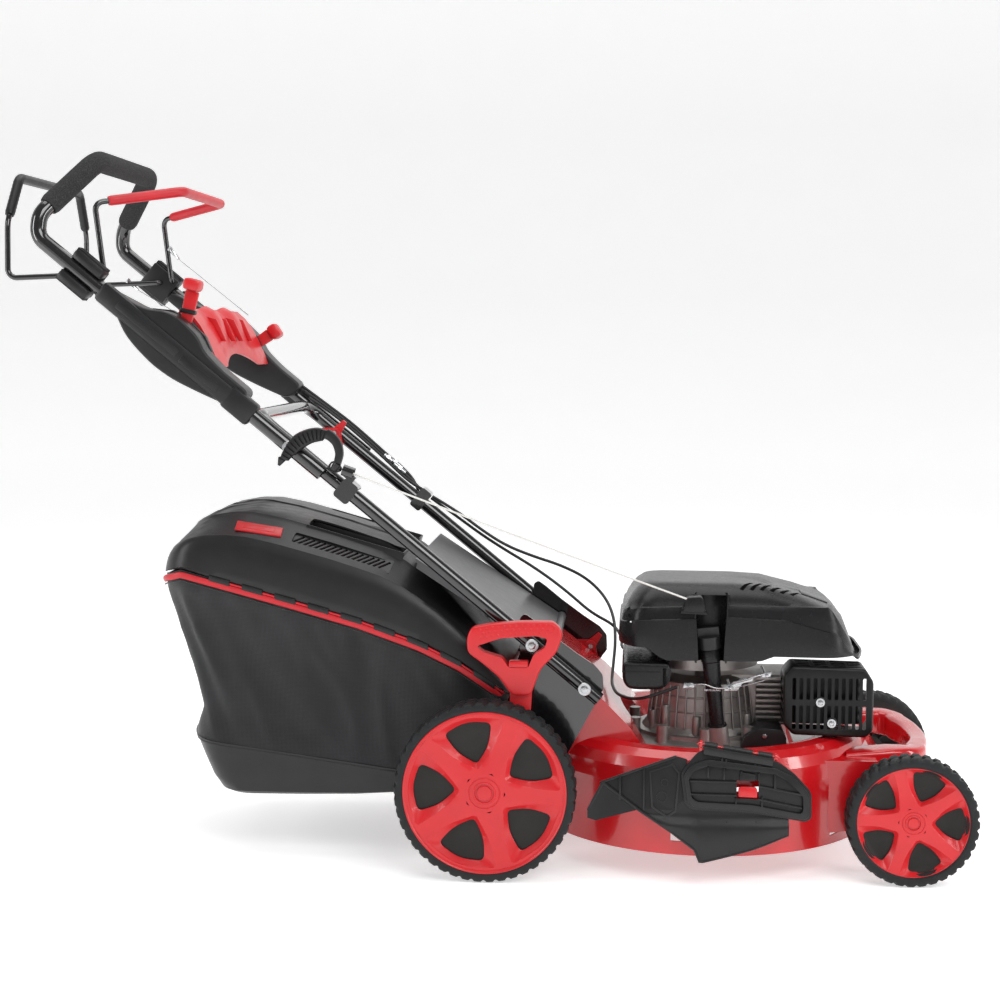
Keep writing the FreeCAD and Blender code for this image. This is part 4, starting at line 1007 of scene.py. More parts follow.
def console_side(side, node):
    """A lobe-shaped side shell with the raised channel that runs along the tube."""
    inner, outer = sorted((side * 186.5, side * 236.0))
    lobe = slab("lobe", CONSOLE, inner, outer, radius=16, bevel=5.0, segments=4)
    turn = Matrix.Rotation(-math.radians(140.5), 3, "Y")
    channel = block("channel", on_handle(849, 0, side * 232), (306, 17, 34), turn, bevel=7)
    tip = block("tip", on_handle(721, 0, side * 229), (52, 24, 38), turn, bevel=5)
    insert = block("insert", on_handle(905, 1, side * 240), (120, 2.4, 13), turn, bevel=1.0)
    insert_two = block("insert", on_handle(800, -1, side * 240), (74, 2.4, 13), turn, bevel=1.0)
    rim = slab("rim", [(-514, 878), (-482, 875), (-458, 862), (-430, 834), (-420, 810), (-426, 806),
                       (-438, 830), (-464, 856), (-486, 867), (-516, 870)],
               *sorted((side * 182.0, side * 196.0)), bevel=1.2)
    obj = join("console_" + ("right" if side < 0 else "left") + "_shell",
               [lobe, channel, tip, insert, insert_two, rim])
    settle(obj, "upper_handle_body", "black_plastic", [node])


console_side(-1, "console_right")
console_side(1, "console_left")


def console_cover():
    """Red bridge between the shells: a curved panel, two raised pods and an arched lower edge."""
    section = [(-478, 870), (-466, 878), (-452, 866), (-440, 850), (-428, 828), (-416, 800), (-412, 786)]
    rings = []
    for step in range(49):
        y = -184 + 368 * step / 48
        ring = []
        pod = max(math.exp(-((abs(y) - 62) / 26) ** 4), 0.0)
        arch = 26 * max(0.0, 1 - (y / 120) ** 2)
        for index, (x, z) in enumerate(section):
            lift = 11 * pod * math.sin(math.pi * min(1.0, index / 4.5)) if index < 5 else 0.0
            t = index / (len(section) - 1)
            shift = arch * t * t
            ring.append((x + 0.7 * lift - 0.55 * shift, y, z + 0.7 * lift + 0.75 * shift))
        rings.append(ring)
    panel = shell(loops("panel", rings, closed=False), 4.0)
    parts = [panel]
    for y in (-96, -28, 28, 96):
        parts.append(slab("fin", [(-452, 866), (-436, 862), (-420, 826), (-428, 826)], y - 1.6, y + 1.6,
                          bevel=0.6))
    parts.append(block("bar", (-470, 0, 873), (12, 360, 8), Matrix.Rotation(math.radians(40), 3, "Y"),
                       bevel=2.5))
    obj = join("console_bridge", parts)
    settle(obj, "upper_handle_body", "red_plastic", ["console_cover"], sharp=30)


console_cover()


def control_lever(name, side, degrees, length, node):
    """Flat red lever with a rounded cross knob."""
    pivot = Vector((-475, 0, 795))
    reach = Vector((math.cos(math.radians(degrees)), 0, math.sin(math.radians(degrees))))
    across = Vector((-reach.z, 0, reach.x))

    def at(r, c):
        point = pivot + reach * r + across * c
        return (point.x, point.z)

    near, far = sorted((side * 188.5, side * 196.5))
    shaft = slab("shaft", [at(20, -8), at(length - 14, -11), at(length - 14, 11), at(20, 8)], near, far,
                 bevel=2.0)
    spin = Matrix.Rotation(-math.radians(degrees), 3, "Y")
    knob = block("knob", pivot + reach * (length - 4) + Vector((0, side * 197, 0)), (19, 34, 27), spin,
                 bevel=6)
    collar = block("collar", pivot + reach * (length - 46) + Vector((0, side * 192.5, 0)), (7, 13, 25),
                   spin, bevel=1.5)
    hub = tube("hub", [pivot + Vector((0, side * 190, 0)), pivot + Vector((0, side * 196.4, 0))], 9)
    settle(join(name, [shaft, knob, hub]), name.replace("_arm", "") + "_body", "red_plastic", [node])
    settle(collar, name.replace("_arm", "") + "_body", "black_plastic").name = name + "_collar"


control_lever("throttle_lever_arm", -1, 77, 126, "throttle_lever")
control_lever("speed_lever_arm", 1, 33, 92, "speed_lever")


def starter_grip():
    """Ribbed black pull hook with a round stem that drops to the rope guide."""
    spine = [(-305, 637), (-294, 657), (-277, 675), (-256, 686), (-234, 687), (-217, 675), (-211, 657),
             (-214, 641)]
    line = smooth_line([Vector((x, -250, z)) for x, z in spine], 10)
    rings = []
    count = len(line)
    for index, point in enumerate(line):
        ahead = (line[min(index + 1, count - 1)] - line[max(index - 1, 0)]).normalized()
        normal = Vector((-ahead.z, 0, ahead.x))
        t = index / (count - 1)
        half = table([(0, 2.0), (0.08, 7.0), (0.3, 12.5), (0.5, 11.0), (0.62, 8.0), (1.0, 6.0)], t)
        wide = table([(0, 3.0), (0.1, 6.5), (0.6, 6.5), (1.0, 6.0)], t)
        shift = -3.5 if 0.08 < t < 0.6 else 0.0
        ring = []
        for turn in range(16):
            angle = 2 * math.pi * turn / 16
            c, s = math.cos(angle), math.sin(angle)
            square = 1 / max(abs(c), abs(s)) ** 0.55
            ring.append(point + normal * (half * c * square + shift) + Vector((0, wide * s * square, 0)))
        rings.append(ring)
    hook = loops("hook", rings, cap_start=True, cap_end=True)
    cuts = []
    for index in range(13):
        spot = line[5 + 3 * index]
        ahead = line[6 + 3 * index] - line[4 + 3 * index]
        angle = math.atan2(ahead.z, ahead.x)
        inward = Vector((ahead.z, 0, -ahead.x)).normalized()
        centre = spot + inward * 3.5 + Vector((0, -7, 0))
        cuts.append(block("groove", centre, (2.6, 7, 15), Matrix.Rotation(-angle, 3, "Y")))
    hook = carve(hook, cuts)
    stem = tube("stem", smooth_line([Vector((-214, -250, 641)), Vector((-219, -247, 633)),
                                     Vector((-219, -232, 631)), Vector((-217, -222, 631))], 5),
                [6.2] * 15 + [5.4], sides=14)
    coil_line = [Vector((-222, -238 + 0.9 * k / 2, 634)) + Vector((8.2 * math.cos(k), 0, 8.2 * math.sin(k)))
                 for k in range(24)]
    settle(join("starter_hook", [hook, stem]), "starter_grip_body", "black_plastic", ["starter_grip"])
    guard = tube("starter_spring", coil_line, 1.2, sides=6)
    settle(guard, "starter_grip_body", "black_plastic")


starter_grip()


def height_lever():
    """Red D-shaped grip with a pebbled top, on its flat stem."""
    outer = [(-17, 372), (-10, 388), (21, 394), (67, 398), (116, 398), (127, 388), (131, 376), (122, 350),
             (97, 324), (82, 282), (52, 282), (33, 310), (6, 333), (-16, 348)]
    grip = slab("grip", outer, -243.5, -222.0, radius=9, bevel=4.5, segments=4)
    window = slab("window", [(-2, 359), (36, 372), (90, 376), (108, 372), (104, 358), (86, 346), (78, 326),
                             (48, 326), (38, 341), (8, 350)], -260, -200, radius=5)
    grip = carve(grip, [window])
    tab = slab("tab", [(48, 326), (48, 336), (78, 336), (78, 326)], -243.2, -225.0, bevel=2)
    notch = slab("stem", [(50, 292), (84, 292), (76, 176), (68, 168), (52, 168), (44, 176)], -234, -228,
                 bevel=1.5)
    hub = tube("hub", [Vector((60, -227, 186)), Vector((60, -236.5, 186))], 17, sides=32)
    settle(join("height_lever_arm", [grip, tab, notch, hub]), "height_lever_body", "red_plastic",
           ["height_lever"])
    pads = []
    for column in range(13):
        for row in range(3):
            x = 4 + 9.2 * column + (4.6 if row % 2 else 0)
            z = table([(-20, 381), (21, 390), (67, 394.5), (120, 395)], x) - 6.5 * row
            spot = Vector((x, -243.4, z - 1.5))
            pads.append(tube("pad", [spot, spot + Vector((0, -0.8, 0))], [2.3, 1.5], sides=10))
    settle(join("height_lever_pebbles", pads), "height_lever_body", "red_plastic")


height_lever()


# ---- side flap and chute --------------------------------------------------------
LEAN = Matrix.Rotation(math.radians(-5.0), 3, "X")
LEAN_FOOT = Vector((0.0, -289.0, 105.0)) * MM


def lean(obj):
    """Tip an upright side part in against the deck, as the CAD part is."""
    obj.data.transform(Matrix.Translation(LEAN_FOOT) @ LEAN.to_4x4() @ Matrix.Translation(-LEAN_FOOT))
    return obj


def side_flap():
    outline = [(312, 176), (318, 128), (330, 120), (420, 117), (500, 105), (509, 110), (509, 150),
               (483, 178), (458, 196), (350, 213), (338, 208), (322, 190)]
    plate = slab("plate", outline, -284.0, -281.5, radius=8, bevel=1.0)
    frame_out = [(316, 174), (322, 132), (334, 124), (420, 121), (498, 109), (505, 114), (505, 148),
                 (480, 174), (456, 186), (352, 198), (326, 188)]
    frame_in = [(324, 168), (329, 138), (338, 133), (420, 130), (492, 118), (496, 122), (496, 144),
                (475, 166), (454, 177), (354, 188), (332, 180)]
    border = slab("border", frame_out, -289.6, -282.5, radius=6, bevel=1.2)
    border = carve(border, [slab("field", frame_in, -295, -280, radius=5)])
    parts = [plate, border]
    for x, low, high in ((352, 170, 186), (376, 167, 184), (402, 163, 181), (428, 158, 178), (452, 152, 176),
                         (394, 124, 140), (433, 124, 142)):
        parts.append(slab("rib", [(x, low), (x + 2.8, low), (x + 2.8, high), (x, high)], -289.2, -282.5,
                          bevel=0.5))
    for z_left, z_right in ((166, 154), (146, 134)):
        parts.append(slab("long_rib", [(326, z_left), (400, z_left - 1), (494, z_right - 6),
                                       (494, z_right - 8.6), (400, z_left - 3.6), (326, z_left - 2.6)],
                          -289.4, -282.5, bevel=0.5))
    cover = slab("latch_cover", [(400, 162), (424, 159), (425, 176), (401, 180)], -289.4, -284, bevel=1.5)
    parts.append(cover)
    flap = join("flap", parts)
    flap = carve(flap, [block("slot", (413, -286, 152.5), (33, 20, 28))])
    flap = lean(flap)
    start, end = Vector((346.0, -270.5, 218.0)), Vector((452.0, -270.5, 201.0))
    barrels = []
    for a, b in ((0.02, 0.2), (0.28, 0.7), (0.78, 0.98)):
        barrels.append(tube("barrel", [start.lerp(end, a), start.lerp(end, b)], 5.0, sides=18))
    leaf = slab("leaf", [(346, 217), (452, 200), (450, 188), (346, 205)], -281.0, -272.0, bevel=1.5)
    hooks = []
    for x, z in ((374, 196), (424, 188)):
        hooks.append(lean(block("hook", (x, -286.4, z), (3.4, 4, 7), None, bevel=0.8)))
        hooks.append(lean(block("hook", (x + 6, -286.4, z - 1), (3.4, 4, 7), None, bevel=0.8)))
    settle(join("side_flap_panel", [flap] + barrels + [leaf] + hooks), "side_flap_body", "black_plastic",
           ["side_flap"], sharp=30)
    latch = lean(slab("side_latch_tab", [(399, 142), (427, 141), (427, 154), (424, 157), (402, 157.5),
                                         (399, 154)], -289.8, -282.0, bevel=1.5))
    settle(latch, "side_latch_body", "red_plastic", ["side_latch"])


def side_chute():
    """Chute deflector: a flared rear wing with ribs and a raised panel, and a tongue below the flap."""
    wing_side = [(192, 158), (308, 200), (322, 196), (322, 112), (344, 100), (334, 61), (249, 118)]
    wing = slab("wing", wing_side, -281.0, -278.5, radius=2, bevel=0.6)
    parts = [wing]
    foot = [(171, -289.0, 106), (171, -288.5, 117), (194, -281.5, 159.5), (249, -281.5, 119),
            (184, -287.0, 102)]
    centre = (196, -284.0, 122)
    faces = [(k, (k + 1) % 5, 5) for k in range(5)]
    parts.append(shell(from_faces("flare", foot + [centre], faces), 2.6, 1.0))
    for x, low, high in ((219, 133, 168), (255, 118, 181)):
        parts.append(slab("rib", [(x, low), (x + 3, low), (x + 3, high), (x, high)], -285.4, -280.0,
                          bevel=0.8))
    panel_out = [(264, 178), (300, 190), (312, 176), (306, 116), (292, 106), (268, 122)]
    panel_in = [(267, 175), (299, 186), (308.5, 174), (303, 118), (291.5, 110), (271, 124)]
    panel = slab("panel", panel_out, -282.8, -280.0, bevel=0.5)
    parts.append(carve(panel, [slab("panel_in", panel_in, -290, -275)]))
    for x, z, r in ((284, 138, 8.5), (288, 160, 6.0)):
        ring = lathe("seal", [(r, -281.0), (r, -282.2), (r - 1.6, -282.2), (r - 1.6, -281.0)], (x, 0, z),
                     steps=28)
        parts.append(ring)
    top_edge = [Vector((190, -281.5, 158)), Vector((230, -282, 173)), Vector((306, -282, 200.5))]
    parts.append(tube("top_edge", top_edge, 2.2, sides=10))
    rings = []
    columns = 34
    for step in range(columns + 1):
        t = step / columns
        x = 249 + 226 * t
        top = table([(249, 120), (300, 118), (322, 140), (475, 132)], x)
        low = table([(249, 117), (334, 61), (343, 42), (353, 43), (420, 62), (475, 85)], x)
        ring = []
        for k in range(17):
            u = k / 16
            z = top + (low - top) * u
            below = min(1.0, max(0.0, (112 - z) / 16))
            reach = min(1.0, max(0.0, (112 - z) / max(1.0, 112 - low)))
            bulge = 3.0 * below + 4.5 * math.sin(math.pi * reach) * below - 1.0 * reach
            ring.append((x, -278.6 - bulge - 3.0 * reach ** 4, z))
        rings.append(ring)
    parts.append(shell(loops("tongue", rings, closed=False), 2.6, 1.0))
    ridge = [Vector((172, -289, 117)), Vector((194, -283, 159)), Vector((249, -284.2, 118.5)),
             Vector((296, -284.6, 88)), Vector((334, -285.6, 60)), Vector((342, -286.2, 41))]
    parts.append(tube("ridge", filleted(ridge, [4, 12, 24, 6], 6), 2.3, sides=10))
    for x in (388, 432):
        low = table([(353, 43), (420, 62), (475, 85)], x)
        rib = [Vector((x - 6, -283.0, 104)), Vector((x - 3, -285.8, (104 + low) / 2)),
               Vector((x, -285.6, low))]
        parts.append(tube("rib", smooth_line(rib, 6), 1.7, sides=8))
    edge = [Vector((342, -285.5, 42)), Vector((353, -285.5, 43.5)), Vector((420, -285.2, 62.5)),
            Vector((474, -285.0, 85))]
    parts.append(tube("edge", smooth_line(edge, 6), 2.0, sides=8))
    obj = lean(join("side_chute_panel", parts))
    settle(obj, "side_chute_body", "black_plastic", ["side_chute"], sharp=34)


side_flap()
side_chute()


# ---- cables and rope --------------------------------------------------------------
def nurbs(name, points, radius, material):
    """A smooth cable on a NURBS line through the route's control points."""
    curve = bpy.data.curves.new(name, "CURVE")
    curve.dimensions = "3D"
    spline = curve.splines.new("NURBS")
    spline.points.add(len(points) - 1)
    for point, (x, y, z) in zip(spline.points, points):
        point.co = (x * MM, y * MM, z * MM, 1)
    spline.order_u = 3
    spline.use_endpoint_u = True
    spline.resolution_u = 12
    curve.bevel_depth = radius * MM
    curve.bevel_resolution = 4
    curve.use_fill_caps = True
    curve.materials.append(MATERIALS[material])
    obj = add_object(name, curve)
    return obj


CLIP = [on_handle(417, 20, 202), on_handle(417, 15, 211), on_handle(417, 2, 215)]
ROUTES = {
    "throttle_cable": [tuple(CLIP[0]), (-78, 206, 524), (-34, 208, 490), (10, 207, 462), (60, 204, 443),
                       (110, 200, 428), (156, 191, 407), (190, 168, 377), (206, 130, 346), (209, 88, 312),
                       (206, 46, 282), (204, 4, 264), (205, -40, 260), (214, -86, 254), (242, -124, 254),
                       (276, -140, 266), (309, -139, 279.5)],
    "brake_cable": [tuple(CLIP[1]), (-80, 215, 514), (-36, 218, 481), (8, 217, 453), (50, 213, 429),
                    (90, 208, 403), (128, 204, 374), (164, 200, 343), (206, 196, 322), (220, 170, 303),
                    (218, 136, 290), (236, 104, 290)],
    "drive_cable": [tuple(CLIP[2]), (-96, 222, 508), (-58, 227, 474), (-18, 229, 438), (22, 230, 399),
                    (64, 229, 366), (104, 225, 328), (134, 217, 290), (150, 207, 252), (152, 200, 216),
                    (140, 196, 182)],
}


def line_length(points):
    """Length of the smooth line, in metres."""
    probe = nurbs("probe", points, 0.0, "cable")
    probe.data.bevel_depth = 0.0
    mesh = bpy.data.meshes.new_from_object(probe)
    spots = [v.co.copy() for v in mesh.vertices]
    bpy.data.objects.remove(probe)
    return sum((b - a).length for a, b in zip(spots, spots[1:]))


for cable, route in ROUTES.items():
    piece = nurbs(cable, route, 2.6, "cable")
    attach(piece, "chassis")
    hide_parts("control_cables")
    round(line_length(route), 3)


def upper_cables():
    """The cables' stretches along the left tubes, from the console to the clip, across the fold."""
    for index, (n, y, top) in enumerate(((14, 206, 700), (17, 214, 716), (20, 222, 732))):
        stops = [on_handle(430, (20, 15, 2)[index], (202, 211, 215)[index]),
                 on_handle(470, n, y), on_handle(540, n + 3, y + 4), on_handle(610, n + 5, y + 5),
                 on_handle(670, n + 3, y + 3), on_handle(top, n, y)]
        strand = tube("upper_cable_" + "abc"[index], smooth_line(stops, 8), 2.6, sides=10)
        strand.data.materials.append(MATERIALS["cable"])
        smooth_faces(strand)
        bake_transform(strand)
    parts = []
    for s, n, y, length in ((494, 20, 210, 26), (522, 21, 212, 18), (508, 22, 220, 30)):
        parts.append(tube("adjuster", [on_handle(s - length / 2, n, y), on_handle(s + length / 2, n, y)], 4.4,
                          sides=12))
        parts.append(tube("nut", [on_handle(s - 3, n, y), on_handle(s + 3, n, y)], 6.2, sides=6))
    settle(join("cable_adjusters", parts), "chassis", "zinc")


upper_cables()


def bail_wires():
    """Thin inner wires from the Z-shaped clips on the left bail legs to the console."""
    for name, leg, console, body in (("brake", (-591, 199, 985), (-448, 192, 872), "brake_bail_body"),
                                     ("drive", (-668, 199, 928), (-545, 192, 856), "drive_bail_body")):
        a, b = Vector(leg), Vector(console)
        direction = (b - a).normalized()
        clip = tube(name + "_clip", [a + Vector((0, -6, 3)), a + Vector((2, 0, 8)), a + Vector((5, 3, 2)),
                                     a + direction * 22], 2.2, sides=8)
        settle(clip, body, "zinc").name = name + "_bail_clip"
        wire = tube(name + "_bail_wire", [a.lerp(b, k / 24) for k in range(25)], 0.8, sides=8)
        wire.data.materials.append(MATERIALS["zinc"])
        smooth_faces(wire)
        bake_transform(wire)


bail_wires()


# ---- engine parts and deck nose -----------------------------------------------------
CRANK_X = 355.0


def upright_cone(name, r_low, r_high, z_low, z_high, x=CRANK_X, y=0.0, steps=48):
    rings = [[(x + r * math.cos(2 * math.pi * k / steps), y + r * math.sin(2 * math.pi * k / steps), z)
              for k in range(steps)] for r, z in ((r_low, z_low), (r_high, z_high))]
    return loops(name, rings, cap_start=True, cap_end=True)


def hex_bolt(name, centre, radius, height, washer=True):
    """A bolt head that faces the near side, with its washer."""
    x, y, z = centre
    angles = [math.radians(60 * k + 12) for k in range(6)]
    corners = [(x + radius * math.cos(a), z + radius * math.sin(a)) for a in angles]
    parts = [slab(name, corners, y, y + height, bevel=radius * 0.14)]
    dome = [(0.1, y - 0.3), (radius * 0.55, y), (radius * 0.55, y + 1.0), (0.1, y + 1.0)]
    parts.append(lathe("crown", dome, (x, 0, z), steps=20))
    if washer:
        face = y + height
        ring = [(radius * 0.7, face - 1.4), (radius * 1.5, face - 1.4), (radius * 1.6, face - 0.6),
                (radius * 1.6, face + 0.4), (radius * 0.7, face + 0.4)]
        parts.append(lathe("washer", ring, (x, 0, z), steps=28))
    return join(name, parts)


def fuel_tank():
    side = [(222, 317), (222, 288), (230, 274), (246, 272), (282, 272.5), (296, 280), (300, 296), (298, 317)]
    tank = slab("tank", side, -135, 60, radius=9, bevel=7, segments=5)
    scoop = upright_cone("scoop", 17, 17, 255, 308, 303, -138, 28)
    round_room = upright_cone("room", 89, 96, 262, 326)
    tank = carve(tank, [round_room, scoop])
    seam = slab("seam", [(221.4, 303), (221.4, 300.6), (284, 300.6), (284, 303)], -135.6, 60.4, bevel=0.6)
    seam = carve(seam, [upright_cone("room", 91, 97, 262, 326)])
    settle(join("fuel_tank_body", [tank, seam]), "chassis", "shroud_black", ["fuel_tank"], sharp=32)


GUARD_BOLTS = ((534, 259), (552, 226))


def muffler_guard():
    side = [(477, 222), (492, 206), (606, 203), (617, 214), (617, 292), (604, 313), (490, 316), (477, 300)]
    inner = [(479.5, 224), (493.5, 208.5), (605, 205.5), (614.5, 215), (614.5, 291), (602.5, 310.5),
             (491, 313.5), (479.5, 299)]
    guard = slab("guard", side, -145.5, -72, radius=5, bevel=4.5, segments=3)
    room = slab("room", inner, -142.5, -60, radius=4, bevel=3.0)
    cuts = []
    for column in range(11):
        x = 490 + 11 * column
        for low, high in ((216, 254), (263, 298)):
            cuts.append(slab("slot", [(x, low), (x + 6, low), (x + 6, high), (x, high)], -150, -139,
                             radius=2.6))
    for row in range(5):
        z = 222 + 15 * row
        cuts.append(block("side_slot", (617, -106, z + 4), (12, 44, 7)))
        cuts.append(block("side_slot", (477, -106, z + 4), (12, 44, 7)))
    for y in (-132, -118, -104, -90):
        for x in (508, 536, 564, 590):
            cuts.append(block("top_slot", (x, y, 314), (21, 6.5, 14)))
    guard = carve(guard, [room] + cuts)
    pads = []
    for x, z in GUARD_BOLTS:
        pad = [(0.1, -146), (8.2, -146), (9.2, -145.2), (9.2, -142.5), (0.1, -142.5)]
        pads.append(lathe("pad", pad, (x, 0, z), steps=28))
    settle(join("muffler_guard_shell", [guard] + pads), "chassis", "guard_black", ["muffler_guard"], sharp=32)
    bolts = [hex_bolt("guard_bolt", (x, -149.5, z), 4.6, 3.4) for x, z in GUARD_BOLTS]
    settle(join("guard_bolts", bolts), "chassis", "zinc")


def throttle_rods():
    parts = []
    rods = [([(330, -139, 283), (352, -140, 284), (372, -140, 278), (398, -139, 280)], 1.3),
            ([(396, -139, 287), (416, -141, 292), (436, -139, 299), (456, -136, 302)], 1.5),
            ([(386, -137, 276), (420, -138, 284), (448, -137, 292)], 1.1)]
    for points, radius in rods:
        parts.append(tube("rod", smooth_line([Vector(p) for p in points], 8), radius, sides=10))
    parts.append(slab("clamp", [(318, 277), (334, 276), (337, 281), (335, 286), (320, 286)], -141, -136,
                      radius=1.5, bevel=1.0))
    parts.append(slab("bracket", [(384, 273), (404, 274), (412, 286), (428, 290), (430, 297), (410, 294),
                                  (398, 286), (384, 283)], -138.5, -136.5, radius=1.5, bevel=0.5))
    parts.append(slab("stay", [(440, 295), (456, 298), (458, 306), (446, 304)], -139, -136.5, radius=1,
                      bevel=0.5))
    for x, y_back, z in ((392, -78, 279), (448, -64, 299)):
        parts.append(tube("post", [Vector((x, -137, z)), Vector((x, y_back, z))], 2.4, sides=12))
    coil_r, coil_length, coil_turn = 2.4, 26, 70
    coil = [Vector((352 + coil_length * t / coil_turn, -138.5 + coil_r * math.cos(t),
                    274.5 + coil_r * math.sin(t))) for t in (k / 5.0 for k in range(351))]
    parts.append(tube("spring", coil, 0.5, sides=6))
    for x, z in ((392, 279), (326, 281), (450, 300)):
        parts.append(hex_bolt("screw", (x, -143, z), 3.2, 3.0, washer=False))
    settle(join("throttle_rods", parts), "chassis", "zinc", ["throttle_linkage"], sharp=40)


def casting_details():
    """Bosses, ribs and screws on the crankcase, and the dark cover beside the filler."""
    parts = []
    for angle in (208, 228, 262, 284, 318):
        x = CRANK_X + 93 * math.cos(math.radians(angle))
        y = 93 * math.sin(math.radians(angle))
        boss = upright_cone("boss", 7.5, 6.5, 190, 236 if angle in (228, 284) else 222, x, y, 20)
        parts.append(soften(boss, 1.4, 2))
    for angle in range(200, 350, 10):
        c, s = math.cos(math.radians(angle)), math.sin(math.radians(angle))
        foot = Vector((CRANK_X + 94 * c, 94 * s, 200))
        head = Vector((CRANK_X + 85 * c, 85 * s, 268))
        parts.append(tube("web", [foot, head], 1.7, sides=8))
    for z in (226, 250):
        r = 91.5 - (z - 200) * 0.111
        arc = [Vector((CRANK_X + r * math.cos(math.radians(a)), r * math.sin(math.radians(a)), z))
               for a in range(196, 346, 6)]
        parts.append(tube("belt", arc, 2.0, sides=8))
    settle(join("crankcase_bosses", parts), "chassis", "engine_casting", sharp=36)
    cover = slab("cover", [(410, 178), (418, 196.5), (440, 211.5), (477, 209.5), (484, 196), (483, 178)],
                 -124.5, -62, radius=3, bevel=3, segments=3)
    settle(cover, "chassis", "black_plastic")
    cover.name = "drive_cover"
    screws = [hex_bolt("screw", (x, -127.5, z), 4.2, 3.2, washer=False) for x, z in ((449, 199), )]
    settle(join("cover_screws", screws), "chassis", "zinc")


def nose_ring():
    """Carrying ring on the deck's nose: a thick smooth band round a hole."""
    path = [(574, -140), (640, -140), (668, -137), (686, -120)]
    for angle in range(-18, 19, 3):
        path.append((384 + 322 * math.cos(math.radians(angle)), 322 * math.sin(math.radians(angle))))
    path += [(x, -y) for x, y in reversed(path[:4])]
    line = smooth_line([Vector((x, y, 0)) for x, y in path], 4)
    rings = []
    for index, point in enumerate(line):
        ahead = line[min(index + 1, len(line) - 1)] - line[max(index - 1, 0)]
        ahead.normalize()
        out = Vector((ahead.y, -ahead.x, 0))
        front = min(1.0, max(0.0, (point.x - 640) / 60))
        half = 26 - 11 * front
        top = table([(560, 181), (600, 186), (640, 190), (668, 190), (700, 186), (724, 176)], point.x)
        low = table([(560, 166), (600, 158), (651, 150), (700, 146), (724, 150)], point.x)
        mid, high = (top + low) / 2, (top - low) / 2
        ring = []
        for k in range(28):
            angle = 2 * math.pi * k / 28
            c, s = math.cos(angle), math.sin(angle)
            across = half * math.copysign(abs(c) ** 0.42, c)
            up = high * math.copysign(abs(s) ** 0.42, s)
            spot = point + out * across
            ring.append((spot.x, spot.y, mid + up))
        rings.append(ring)
    ring = loops("nose_ring", rings, cap_start=True, cap_end=True)
    settle(ring, "chassis", "deck_paint", ["front_bumper"], sharp=50)


def surface(target, x, y):
    """The point of a piece above (x, y), and a frame whose Z is the normal there."""
    tree = BVHTree.FromPolygons([v.co for v in target.data.vertices],
                                [p.vertices for p in target.data.polygons])
    spot, normal, _, _ = tree.ray_cast(mm(x, y, 900), Vector((0, 0, -1)))
    if normal.z < 0:
        normal = -normal
    along = Vector((1, 0, 0))
    along = (along - normal * along.dot(normal)).normalized()
    across = normal.cross(along)
    turn = Matrix((along, across, normal)).transposed()
    return spot / MM, turn


def lid_badges():
    lid = bpy.data.objects["bag_lid_hard"]
    badges = []
    for side in (-1, 1):
        spot, turn = surface(lid, -357, side * 159)
        badges.append(block("badge", spot + turn @ Vector((0, 0, 0.6)), (74, 24, 4.4), turn, bevel=1.6))
        badges.append(block("badge_step", spot + turn @ Vector((0, 0, 1.4)), (52, 12, 4.4), turn, bevel=0.8))
    settle(join("lid_badges", badges), "bag_body", "red_plastic")


def flap_marks():
    """A grid of small raised marks on the rear flap."""
    along = Vector((-139.0, 0, 114.0)).normalized()
    up = Vector((114.0, 0, 139.0)).normalized()
    turn = Matrix((along, Vector((0, 1, 0)), up)).transposed()
    start = Vector((36.0, 0, 369.0))
    marks = []
    for row in range(6):
        for column in range(4):
            spot = start + along * (62 + 9 * row) + up * 3.1
            spot.y = -96 + 12 * column
            marks.append(block("mark", spot, (6.4, 8.6, 1.6), turn, bevel=0.5))
    settle(join("flap_marks", marks), "rear_flap_body", "flap_grey")


def filler_tube():
    foot, lean_axis = Vector((377.0, -112.0, 190.0)), Vector((-17.0, -8.0, 157.0)).normalized()
    stops = [(0, 12.0), (18, 12.0), (19, 15.0), (26, 15.0), (27, 11.5), (60, 11.8), (100, 13.2), (128, 14.6),
             (130, 16.0), (147, 16.4), (149.4, 15.2)]
    line = [foot + lean_axis * s for s, _ in stops]
    tube_body = tube("filler", line, [r for _, r in stops], sides=32)
    settle(tube_body, "chassis", "shroud_black", ["oil_filler_tube"], sharp=30)
    tube_body.name = "filler_tube"


lid_badges()
flap_marks()
filler_tube()
fuel_tank()
muffler_guard()
throttle_rods()
casting_details()
nose_ring()


ROPE_EYE = on_handle(528.0, 27.0, -222.0)


def starter_rope():
    """The taut rope from the shroud to its guide, and the stretch from the guide to the grip."""
    eye_axis = Vector((-1, 0, 0.36)).normalized()
    low, high = Vector((332.0, -160.2, 420.4)), ROPE_EYE + eye_axis * 9
    middle = low.lerp(high, 0.5) - Vector((0, 0, 2.5))
    rope = nurbs("starter_rope_line", [low, middle, high], 1.5, "rope")
    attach(rope, "chassis")
    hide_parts("starter_rope")
    foot, head = ROPE_EYE + eye_axis * 2, Vector((-216.5, -222.0, 631.5))
    pull = tube("starter_rope_pull", [foot.lerp(head, k / 24) for k in range(25)], 1.4, sides=8)
    pull.data.materials.append(MATERIALS["rope"])
    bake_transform(pull)


def bolt_heads():
    heads = []
    for s, face in ((31, -216.4), (137, -216.4), (621, -241.5)):
        spot = on_handle(s, 0.0, 0.0)
        for side in (-1, 1):
            head = hex_bolt("bolt_head", (spot.x, face - 3.2, spot.z), 6.4, 3.6)
            if side > 0:
                for vert in head.data.vertices:
                    vert.co.y = -vert.co.y
                head.data.flip_normals()
            heads.append(head)
    settle(join("handle_bolt_heads", heads), "chassis", "zinc")


starter_rope()
bolt_heads()


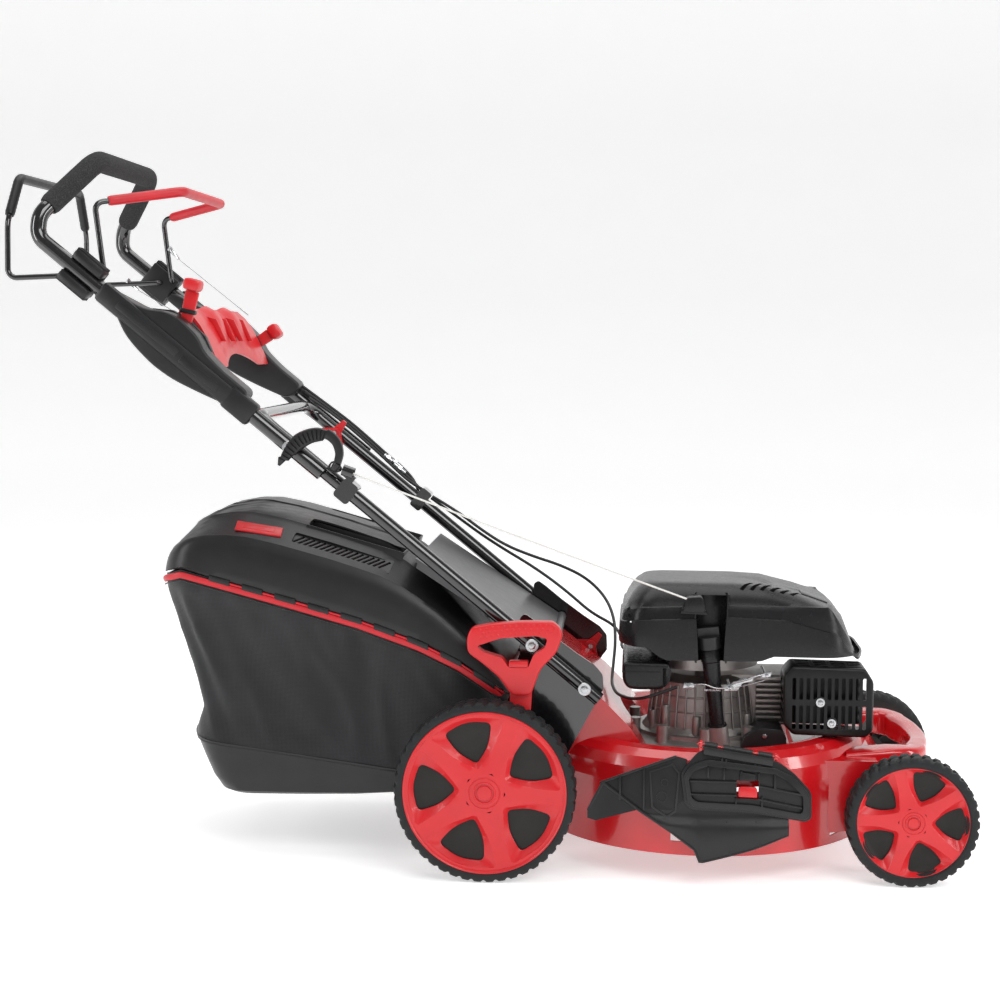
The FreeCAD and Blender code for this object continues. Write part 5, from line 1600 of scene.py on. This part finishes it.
def cylinder_head():
    """Cooling fins round the head and the screwed rocker cover on its front."""
    parts = []
    for row in range(9):
        z = 209 + 8.6 * row
        fin = [(496, z), (561, z), (561, z + 2.6), (496, z + 2.6)]
        parts.append(slab("fin", fin, -57, 57, bevel=0.7))
    cover = slab("rocker", [(558, 212), (596, 214), (601, 222), (601, 272), (596, 280), (558, 284)], -46, 46,
                 radius=6, bevel=4.5, segments=3)
    parts.append(cover)
    parts.append(slab("rim", [(556, 208), (564, 208), (564, 286), (556, 286)], -49, 49, bevel=1.5))
    for y in (-24, -8, 8, 24):
        rib = [(600, 226), (603, 230), (603, 264), (600, 268)]
        parts.append(slab("rib", rib, y - 2, y + 2, bevel=0.6))
    settle(join("cylinder_head", parts), "chassis", "engine_casting", sharp=34)


cylinder_head()


# ---- camera, light and floor ---------------------------------------------------
camera = bpy.data.objects.new("camera", bpy.data.cameras.new("camera"))
bpy.context.scene.collection.objects.link(camera)
CAMERA_PITCH, CAMERA_YAW = 0.0929, 0.0767
camera.location = (0.2371, -2.8760, 0.8314)
camera.rotation_euler = (math.pi / 2 - CAMERA_PITCH, 0, CAMERA_YAW)
camera.data.lens = 62.57
camera.data.sensor_width = 36.0
bpy.context.scene.camera = camera


def softbox(name, location, target, size, power):
    data = bpy.data.lights.new(name, "AREA")
    data.shape = "RECTANGLE"
    data.size, data.size_y = size
    data.energy = power
    light = bpy.data.objects.new(name, data)
    bpy.context.scene.collection.objects.link(light)
    light.location = location
    light.rotation_euler = (Vector(target) - Vector(location)).to_track_quat("-Z", "Y").to_euler()


softbox("key", (1.6, -2.8, 3.0), (0.1, 0, 0.4), (2.2, 1.6), 58)
softbox("top", (-0.2, 0.2, 3.2), (0.0, 0, 0.3), (3.0, 2.0), 44)
softbox("left_strip", (-2.8, -1.5, 1.3), (0, 0, 0.5), (0.5, 2.2), 30)
softbox("right_strip", (2.9, -1.0, 1.2), (0.3, 0, 0.4), (0.4, 2.0), 26)

world = bpy.data.worlds.new("studio")
bpy.context.scene.world = world
world.use_nodes = True
sky = world.node_tree.nodes["Background"]
sky.inputs["Color"].default_value = (1.0, 1.0, 1.0, 1)
sky.inputs["Strength"].default_value = 0.26
bpy.context.scene.view_settings.view_transform = "Standard"

FLOOR_REACH = 160.0
sweep = [(-FLOOR_REACH, 0.0), (9.0, 0.0), (12.0, 0.25), (15.0, 1.2), (17.5, 3.2), (18.6, 6.0), (19.0, 30.0)]
backdrop = bpy.data.meshes.new("floor")
backdrop.from_pydata([(x, y, z - 0.0005) for y, z in sweep for x in (-FLOOR_REACH, FLOOR_REACH)], [],
                     [(2 * k, 2 * k + 1, 2 * k + 3, 2 * k + 2) for k in range(len(sweep) - 1)])
floor = add_object("floor", backdrop)
smooth_faces(floor)
floor_white = finish("floor", (0.93, 0.93, 0.93), 0.9, vary=0.01, vary_scale=2.0)
floor_shader = floor_white.node_tree.nodes["Principled BSDF"]
floor_shader.inputs["Emission Color"].default_value = (1, 1, 1, 1)
floor_shader.inputs["Emission Strength"].default_value = 0.50
floor.data.materials.append(floor_white)
